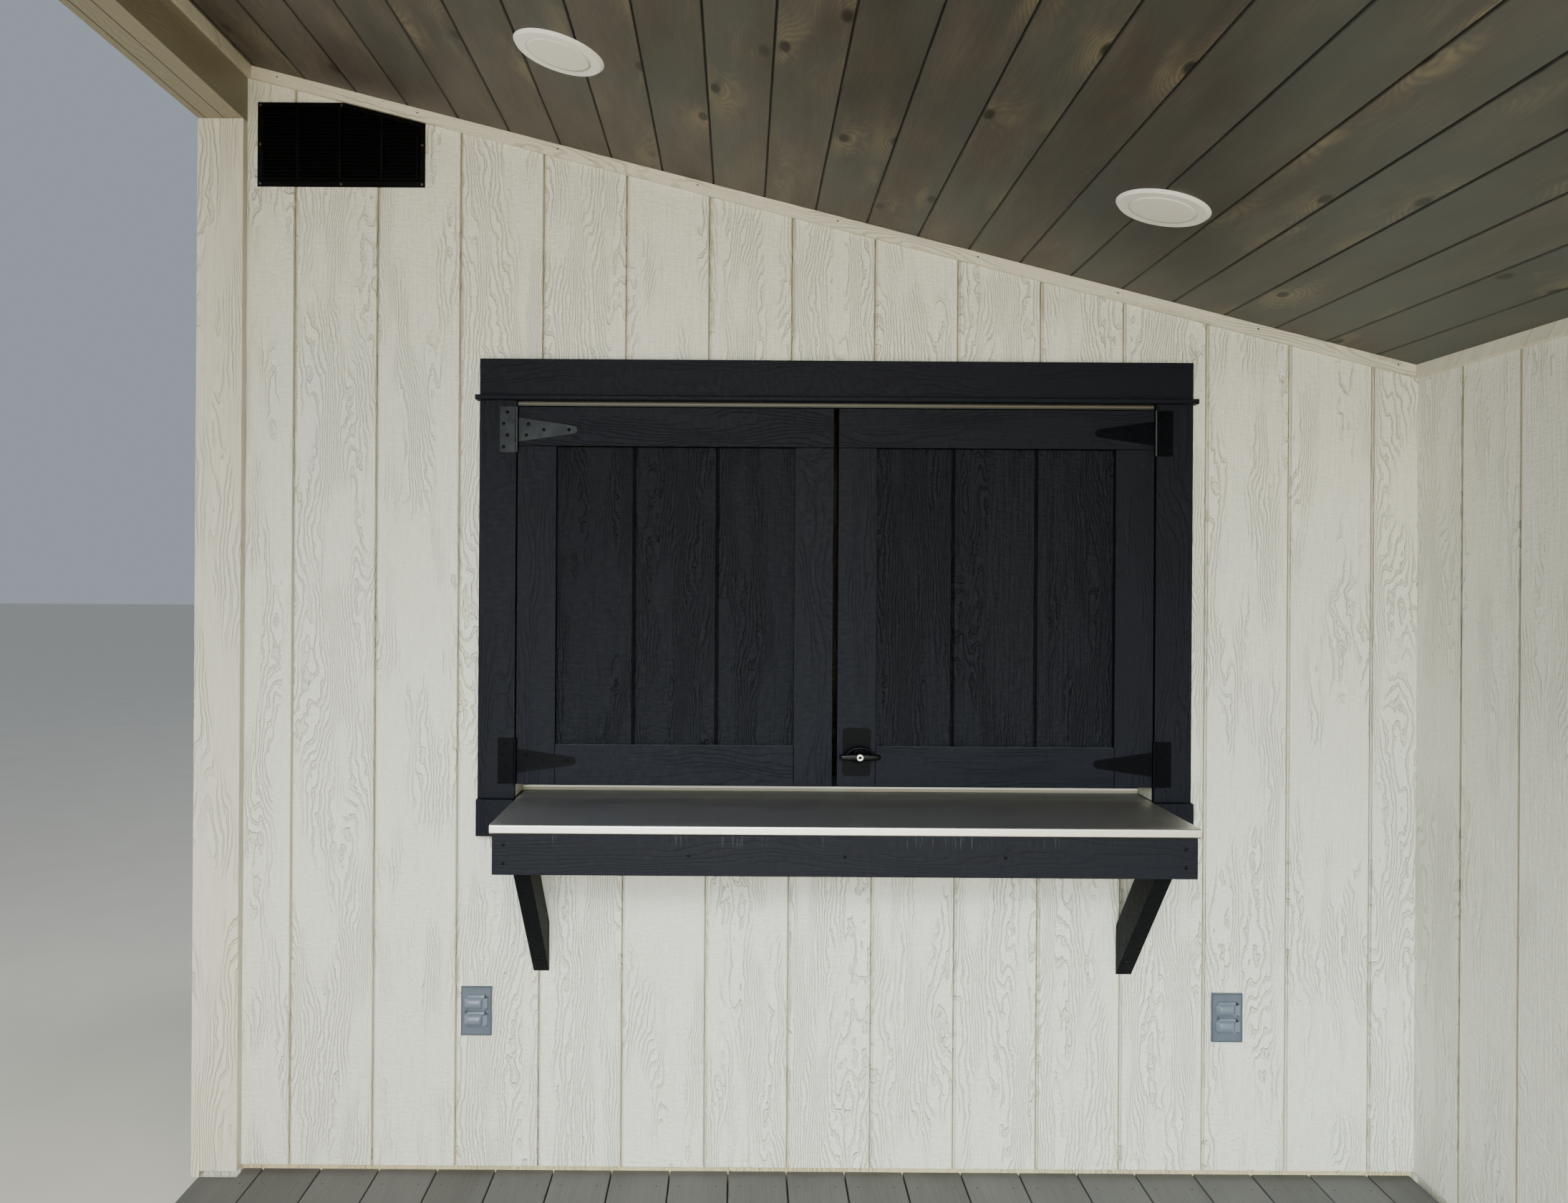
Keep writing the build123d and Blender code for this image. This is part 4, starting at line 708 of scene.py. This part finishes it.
# Latch
# A T handle of die-cast zinc, powder coated black, with a bright keyed cylinder in its middle. It turns in a
# coated steel plate screwed to the right shutter's stile.
def tapered_bar(centre, half_length, half_height, half_depth, rows=40, cols=28):
    """A bar along X: at t from -1 to 1 its section is a rounded oblong, |y/b|^3 + |z/a|^3 = 1, whose height
    falls by a third towards each end and closes in a rounded tip."""
    t = np.sin(np.linspace(-np.pi / 2, np.pi / 2, rows))[:, None]
    a = np.linspace(0, 2 * np.pi, cols, endpoint=False)[None, :]
    tip = np.clip(1 - np.abs(t) ** 16, 0, 1) ** 0.5
    high = half_height * (1 - 0.38 * np.abs(t) ** 1.4) * tip
    deep = half_depth * (1 - 0.25 * t**2) * tip
    section_y = np.sign(np.cos(a)) * np.abs(np.cos(a)) ** (2 / 3)
    section_z = np.sign(np.sin(a)) * np.abs(np.sin(a)) ** (2 / 3)
    points = np.stack([half_length * t + 0 * a, deep * section_y, high * section_z], -1)
    return (points + np.array(centre))[None]


def arched_yoke(centre, half_span, rise, thick, rows=33, cols=14):
    """A half ring about Y that joins the bar's arms behind the hub: at bend b from 0 to pi it lies at
    (half_span cos(b), rise sin(b)), as thick as sin(0.94 b + 0.09)^0.35 lets it, and half as deep again."""
    stand_off, lift = 0.0330, 0.001
    b = np.linspace(0, np.pi, rows)[:, None]
    a = np.linspace(0, 2 * np.pi, cols, endpoint=False)[None, :]
    r = thick * np.sin(b * 0.94 + 0.09) ** 0.35
    x = (half_span + r * np.cos(a)) * np.cos(b)
    z = (rise + r * np.cos(a)) * np.sin(b) + lift
    arch = np.stack([x, 1.5 * r * np.sin(a) - stand_off, z], -1)
    tips = [np.broadcast_to(arch[i].mean(0), (1, cols, 3)) for i in (0, -1)]
    return (np.concatenate([tips[0], arch, tips[1]]) + centre)[None]


latch_x, latch_z, hub_y, bar_y, plug_y, keyway_y = 0.0686, 1.2830, 0.2844, 0.2517, 0.2462, 0.2421
hub_foot = (latch_x, hub_y, latch_z)
handle_coat = powder_coat("gloss_black_handle_coat", "#06070a", 0.3, ior=1.22)
bar = tapered_bar((latch_x, bar_y, latch_z), half_length=0.0505, half_height=0.0097, half_depth=0.0075)
handle = place_mesh("t_handle_bar", bar, handle_coat, "latch")
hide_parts("latch_handle")
hub_profile = [
    (0, 0.0395), (0.0075, 0.0395), (0.0112, 0.0385), (0.0128, 0.036), (0.0132, 0.030), (0.0125, 0.022),
    (0.0130, 0.014), (0.0150, 0.0060), (0.0155, 0.0042), (0, 0.0042),
]
place_mesh("t_handle_hub", spun([hub_foot], to_porch, hub_profile, 48), handle_coat, "latch")
yoke = arched_yoke(hub_foot, half_span=0.0325, rise=0.0215, thick=0.0034)
place_mesh("t_handle_yoke", yoke, handle_coat, "latch")

nickel, n = new_finish("bright_nickel_plate")
rub = n("TexNoise", {"Vector": n("TexCoord", give=3), "Scale": 700.0, "Detail": 2.0})
tint = n("ValToRGB", {0: rub}, stops=[(0.3, "#c4c1ba"), (0.7, "#dedbd3")])
surface = n("BsdfPrincipled", {"Base Color": tint, "Metallic": 1.0, "Roughness": 0.24})
n("OutputMaterial", {"Surface": surface})
plug_profile = [
    (0, 0.0038), (0.0022, 0.0038), (0.0024, 0.0042), (0.0078, 0.0042), (0.0088, 0.0034), (0.0092, 0),
    (0, 0),
]
plug = spun([(latch_x, plug_y, latch_z)], to_porch, plug_profile, 40)
place_mesh("lock_cylinder", plug, nickel, "latch")
# A thin black disc on the plug's face stands for the key slot: painted shade of a hole that is not cut.
keyway_profile = [(0, 0.00035), (0.0030, 0.0003), (0.0033, 0.0), (0, 0)]
keyway_shade = spun([(latch_x, keyway_y, latch_z)], to_porch, keyway_profile, 20)
place_mesh("keyway_shade", keyway_shade, screw_black, "latch")


# Counter
# A board wrapped in folded stainless sheet, ground with a long straight brush, which passes through the wall.
# A painted apron hangs under its front edge, and two painted braces carry it from the wall.
lip_front, lip_shade_top, lip_shade_foot, wall_near, wall_far = -0.0150, 1.1565, 1.1535, 0.300, 0.330
steel, n = new_finish("brushed_stainless_sheet")
across, along = board_axes(n, "x")
brush = stretched(n, across, along, 0.0009, 0.11, Detail=3.0)
smear = stretched(n, across, along, 0.05, 0.16, Detail=4.0)
tint = n("ValToRGB", {0: brush}, stops=[(0.3, "#e2e0e6"), (0.7, "#f4f1f8")])
# The steel is tinted warmer towards +X: a painted reflection.
painted_reflection_warmth = n("MapRange", {0: coordinate(n, "x"), 1: -0.7, 2: 0.8, 3: 0.05, 4: 0.55})
tint = n("Mix", {0: painted_reflection_warmth, 6: tint, 7: linear("#dfd3bf")}, give=2, data_type="RGBA")
# Darker towards the lip's foot: painted shade under the fold.
lip_foot_shade = n("MapRange", {0: coordinate(n, "z"), 1: lip_shade_top, 2: lip_shade_foot, 3: 0.0, 4: 0.8})
lip_foot_shade = both(n, within(n, "y", -0.2, lip_front), lip_foot_shade)
tint = n("Mix", {0: lip_foot_shade, 6: tint, 7: linear("#8d8270")}, give=2, data_type="RGBA")
gloss = n("Math", {0: brush, 1: 0.05, 2: 0.27}, operation="MULTIPLY_ADD")
gloss = n("Math", {0: smear, 1: 0.14, 2: gloss}, operation="MULTIPLY_ADD")
# Darker where the counter passes through the wall: painted shade.
inside_shade = n("MapRange", {0: coordinate(n, "y"), 1: wall_near, 2: wall_far})
tint = n("Mix", {0: inside_shade, 6: tint, 7: linear("#a3a09a")}, give=2, data_type="RGBA")
gloss = n("Mix", {0: inside_shade, 2: gloss, 3: 0.62}, data_type="FLOAT")
normal = n("Bump", {"Strength": 0.35, "Distance": 0.00012, "Height": brush})
surface = n("BsdfPrincipled", {"Base Color": tint, "Metallic": 1.0, "Roughness": gloss, "Normal": normal})
n("OutputMaterial", {"Surface": surface})
dress(steel, "counter_top")


def drips(n):
    """Thin upright runs of hard water, strongest just under the lip and gone 25 mm below it, else 0."""
    x, z = coordinate(n, "x"), coordinate(n, "z")
    run = n("MapRange", {0: stretched(n, x, z, 0.003, 0.09, shift=2.0, Detail=1.0), 1: 0.62, 2: 0.70})
    here = n("MapRange", {0: stretched(n, x, z, 0.12, 0.4, shift=6.0, Detail=1.0), 1: 0.45, 2: 0.60})
    high = n("MapRange", {0: z, 1: 1.120, 2: 1.146})
    return both(n, both(n, run, here), high)


apron_coat = dict(charcoal, ior=1.3, marks=[(drips, "#6b6c6c", 0.4)])
apron_paint = embossed_paint("charcoal_paint_on_apron", run="x", relief=0.0002, **apron_coat)
dress(apron_paint, "counter_apron")
# The braces' coat is the charcoal made duller and a touch darker: painted shade under the counter.
brace_paint = embossed_paint(
    "charcoal_paint_on_braces", "#0b0c11", "#090a0e", "z", relief=0.0005, rough=0.66, ior=1.2
)
dress(brace_paint, "counter_braces")

apron_face, brace_slope = -0.0161, (0, -0.7455, -0.6665)
end_columns, end_heights = (-0.735, 0.753), (1.128, 1.088)
middle_columns, middle_height = (-0.33, 0.01, 0.36), 1.107
brace_columns, brace_rows = (-0.7075, -0.6935, 0.7155, 0.7295), ((0.2633, 0.7932), (0.2733, 0.7820))
apron_spots = [(x, apron_face, z) for x in end_columns for z in end_heights]
apron_spots += [(x, apron_face, middle_height) for x in middle_columns]
apron_heads = spun(apron_spots, to_porch, pan_head(0.0038, 0.0007), 12)
place_mesh("apron_screws", apron_heads, screw_black)
brace_spots = [(x, y, z) for x in brace_columns for y, z in brace_rows]
brace_heads = spun(brace_spots, brace_slope, pan_head(0.0036, 0.0012), 12)
place_mesh("brace_screws", brace_heads, screw_black)


# Vent
# A louvred grille of pressed aluminium, powder coated black, screwed over its hole through a flat flange.
# Its high corner is cut along the ceiling trim.
dress(powder_coat("satin_black_vent_coat", "#010101", 0.4, ior=1.22), "vent")
flange_face, slat_face, slat_foot, slat_pitch = 0.3003, 0.2935, 2.6830, 0.0093
# Small zinc heads at the slats' ends stand for their glints: painted highlights.
slat_glint_columns = ((-1.3925, 18), (-1.3040, 4))
left_x, middle_x, right_x = -1.403, -1.205, -1.007
low_z, mid_z, high_z = 2.670, 2.766, 2.862
vent_spots = [(x, flange_face, low_z) for x in (left_x, middle_x, right_x)]
vent_spots += [(x, flange_face, mid_z) for x in (left_x, right_x)]
vent_spots += [(x, flange_face, high_z) for x in (left_x, middle_x)]
slat_glint_spots = [(x, slat_face, slat_foot + slat_pitch * i) for x, slats in slat_glint_columns for i in range(slats)]
slat_glints = spun(slat_glint_spots, to_porch, pan_head(0.0011, 0.0016), 10)
place_mesh("vent_slat_glint_heads", slat_glints, weathered)
place_mesh("vent_screws", spun(vent_spots, to_porch, pan_head(0.0034, 0.0014), 12), weathered)


# Outlet covers
# Weatherproof covers of die-cast zinc, painted blue grey: a plate held by one screw in its middle, with two
# sprung lids that lift sideways.
covers = (("left", -0.8605, 0.6500), ("right", 0.9750, 0.6450))
lid_rise, lid_start, pin_from_middle, screw_from_middle = 0.0202, 0.0290, 0.0260, 0.0240
lid_back, pin_y, knuckle_length, plate_front = 0.2974, 0.2944, 0.0236, 0.2914


def shaded_plate_rim(n):
    """1 on the sloping rim of each plate, 4 mm wide, which is painted darker: painted shade, else 0."""
    wide, high = 0.0340, 0.0560
    flats = [
        both(n, within(n, "x", x - wide, x + wide), within(n, "z", z - high, z + high)) for _, x, z in covers
    ]
    return n("Math", {0: 1.0, 1: either(n, *flats)}, operation="SUBTRACT")


def painted_slot_shade(n):
    """1 over each lid's hinge spring, where a slot is painted near black: painted shade, as the plate is not
    cut, else 0.
    """
    slots = [
        both(n, within(n, "x", x + 0.0205, x + 0.0240), within(n, "z", z + foot, z + foot + 0.009))
        for _, x, z in covers
        for foot in (0.0305, -0.0100)
    ]
    return either(n, either(n, *slots[:2]), either(n, *slots[2:]))


enamel_peel = 0.0012
# The plates' rims and slots are painted darker: painted shade.
plate_marks = [(shaded_plate_rim, "#3e444e", 0.7), (painted_slot_shade, "#0b0c0e", 0.95)]
plate_coat = powder_coat(
    "blue_grey_enamel_on_plates", "#59616e", 0.4, enamel_peel, ior=1.5, marks=plate_marks
)
dress(plate_coat, "outlet_plates")
# The lids' enamel is the plates' blue grey made lighter: painted light on the raised lids.
lid_coat = powder_coat("blue_grey_enamel_on_lids", "#6b7482", 0.34, enamel_peel, ior=1.55)


def lid_shell(left, middle_z, back_y):
    """A flip lid as a grid: s runs along it from its clipped end to its hinge, and t across it and back
    underneath. Its half width is min(18.8, 9.8 + 1.0 s) mm. A flange stands 3 mm high, and a half round
    |t| < 13.5 mm rises 10.5 mm more by sqrt(1 - (t / 13.5)^2), rounded off towards both ends."""
    s = np.array([0, 0, 0.6, 2, 4, 6.5, 9, 12, 18, 28, 36, 40, 42, 43, 43.6, 44, 46, 48.6, 49, 49])[:, None]
    half = np.minimum(18.8, 9.8 + s)
    t = np.concatenate([[-1, -0.97], np.linspace(-0.74, 0.74, 23), [0.97, 1, 1, -1]])[None, :]
    across = t * half
    rise = np.sqrt(np.clip(1 - (across / 13.5) ** 2, 0, 1))
    end = np.sqrt(np.clip(1 - ((s - 22) / 22) ** 8, 0, 1))
    nose = np.clip(half / 18.8, 0, 1) ** 2
    height = 3 + 10.5 * rise * end * nose
    height = np.where(np.abs(t) > 0.96, np.where(np.abs(t) > 0.99, 2.2, 3.0), height)
    height[:, -2:] = 0
    height[[0, -1]] = 0
    grid = np.stack([left + s / 1000 + 0 * across, back_y - height / 1000, middle_z + across / 1000], -1)
    grid[[0, -1], :, 2] = middle_z
    return grid[None]


def lid_barrel(pin_x, pin_y, foot_z, length):
    """A knuckle of 3 mm radius, bored for its pin, with a leaf 3 mm thick that reaches 9 mm back over the
    lid's flange. Each point (r, a) of its outline has a bore point (1.65 mm, a)."""
    a = np.radians(np.linspace(-90, 165, 15))
    leaf = [(-9.0, 0.5), (-9.0, -2.4), (-8.4, -3.0), (-4.3, -3.0), (-2.5, -3.0), (-1.1, -3.0)]
    outer = np.concatenate([3.0 * np.stack([np.cos(a), np.sin(a)], -1), leaf]) / 1000
    bore = 0.00165 * outer / np.hypot(*outer.T)[:, None]
    loops = np.stack([outer, outer, bore, bore, outer]) + (pin_x, pin_y)
    heights = foot_z + length * np.array([0, 1, 1, 0, 0])[:, None, None]
    return np.concatenate([loops, heights + 0 * loops[..., :1]], -1)[None]


for side, x, z in covers:
    for level, lid_z in (("lower", z - lid_rise), ("upper", z + lid_rise)):
        lid = f"{side}_{level}_lid"
        shape = lid_shell(x - lid_start, lid_z, lid_back)
        shell = place_mesh(f"{lid}_shell", shape, lid_coat, lid)
        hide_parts(f"{side}_outlet_{level}_lid")
        barrel = lid_barrel(x + pin_from_middle, pin_y, lid_z - knuckle_length / 2, knuckle_length)
        place_mesh(f"{lid}_barrel", barrel, lid_coat, lid, smooth=False)
middles = [(x - screw_from_middle, plate_front, z) for _, x, z in covers]
place_mesh("outlet_screws", spun(middles, to_porch, pan_head(0.0032, 0.0016), 16), weathered)


# Room door
# A flush-edged door with two sunk panels, painted charcoal, hung in the front wall and shut. Its knob is a
# turned brass ball, plated satin nickel, on a round rose.
door_paint = embossed_paint(
    "charcoal_paint_on_door", "#1b1c20", "#131417", "z", line=0.01, relief=0.0005, rough=0.5
)
dress(door_paint, "room_door")
knob_profile = [
    (0, 0.052), (0.010, 0.0515), (0.018, 0.0485), (0.0235, 0.043), (0.0250, 0.037), (0.0235, 0.031),
    (0.018, 0.025), (0.010, 0.0215), (0.0085, 0.018), (0.0085, 0.010), (0.0115, 0.008), (0.0285, 0.0065),
    (0.0320, 0.004), (0.0325, 0.0), (0, 0),
]
knob = spun([(-1.5272, 1.2740, 1.1800)], (-1, 0, 0), knob_profile, 40)
place_mesh("door_knob", knob, nickel)


# Stage
# A pale floor, a soft sky, and five large soft boxes: two beyond the near end, one beyond the open front, one
# over the near end and one behind. The camera stands inside the porch, level and square to the hatch wall.
pale, n = new_finish("pale_floor")
grain = n("TexNoise", {"Vector": n("TexCoord", give=3), "Scale": 3.0, "Detail": 4.0})
tint = n("ValToRGB", {0: grain}, stops=[(0.3, "#ddd8cc"), (0.7, "#e2ddd1")])
n("OutputMaterial", {"Surface": n("BsdfPrincipled", {"Base Color": tint, "Roughness": 0.85})})
floor_reach, floor_z, lines = 60, -0.0005, 9
edge = np.linspace(-floor_reach, floor_reach, lines)
ground = np.stack(np.meshgrid(edge, edge, [floor_z], indexing="ij"), -1).reshape(-1, 3)
index = np.arange(lines**2).reshape(lines, lines)
quads = np.stack([index[:-1, :-1], index[1:, :-1], index[1:, 1:], index[:-1, 1:]], -1).reshape(-1, 4)
floor_mesh = bpy.data.meshes.new("studio_floor")
floor_mesh.from_pydata(ground.tolist(), [], quads.tolist())
floor_mesh.materials.append(pale)
floor = bpy.data.objects.new("studio_floor", floor_mesh)
bpy.context.scene.collection.objects.link(floor)

sky = bpy.data.worlds.new("soft_sky")
sky.use_nodes = True
sky.node_tree.nodes["Background"].inputs["Color"].default_value = (0.78, 0.88, 1.0, 1.0)
sky.node_tree.nodes["Background"].inputs["Strength"].default_value = 0.40
bpy.context.scene.world = sky


def soft_box(name, at, towards, size, watts, colour, spread=180):
    """A large area light at one point, turned to another. A grid on it narrows its spread, in degrees."""
    light = bpy.data.lights.new(name, "AREA")
    light.shape, (light.size, light.size_y) = "RECTANGLE", size
    light.energy, light.color, light.spread = watts, colour, np.radians(spread)
    box = bpy.data.objects.new(name, light)
    box.location = at
    box.rotation_mode = "QUATERNION"
    box.rotation_quaternion = (Vector(towards) - Vector(at)).to_track_quat("-Z", "Y")
    box.visible_camera = False
    bpy.context.scene.collection.objects.link(box)


cool, neutral, clear, warm, plain = (
    (0.47, 0.78, 1.0), (0.935, 0.965, 0.86), (0.86, 0.95, 1.0), (1.0, 0.87, 0.62), (1.0, 0.98, 0.95),
)
soft_box("sky_box", (-0.4, -7.5, 4.1), (0.75, 0.3, 0.9), (4.4, 2.4), 60.0, cool, spread=56)
soft_box("end_box", (-0.2, -7.5, 1.9), (0.75, 0.3, 1.5), (4.0, 2.0), 51.0, neutral, spread=56)
soft_box("side_box", (-5.5, -0.7, 1.5), (0.0, -0.6, 1.2), (2.4, 2.4), 70.0, clear)
soft_box("yard_box", (0.2, -5.4, 3.6), (0.2, -5.4, 0.0), (5.0, 2.6), 840.0, warm)
soft_box("rear_box", (7.0, 7.0, 6.0), (0.0, 0.5, 1.2), (5.0, 4.0), 450.0, plain)

photo_width, photo_middle, straight_ahead, focal_pixels = 2190, (1095, 840), (1034, 804), 1650
eye, roll = (-0.222, -2.590, 1.718), 0.0065
lens = bpy.data.cameras.new("porch_camera")
lens.sensor_width = 36.0
lens.lens = lens.sensor_width * focal_pixels / photo_width
lens.shift_x = (photo_middle[0] - straight_ahead[0]) / photo_width
lens.shift_y = (straight_ahead[1] - photo_middle[1]) / photo_width
lens.clip_start = 0.01
camera = bpy.data.objects.new("porch_camera", lens)
level_view = Matrix.Rotation(np.pi / 2, 4, "X") @ Matrix.Rotation(roll, 4, "Z")
camera.matrix_world = Matrix.Translation(eye) @ level_view
bpy.context.scene.collection.objects.link(camera)
bpy.context.scene.camera = camera
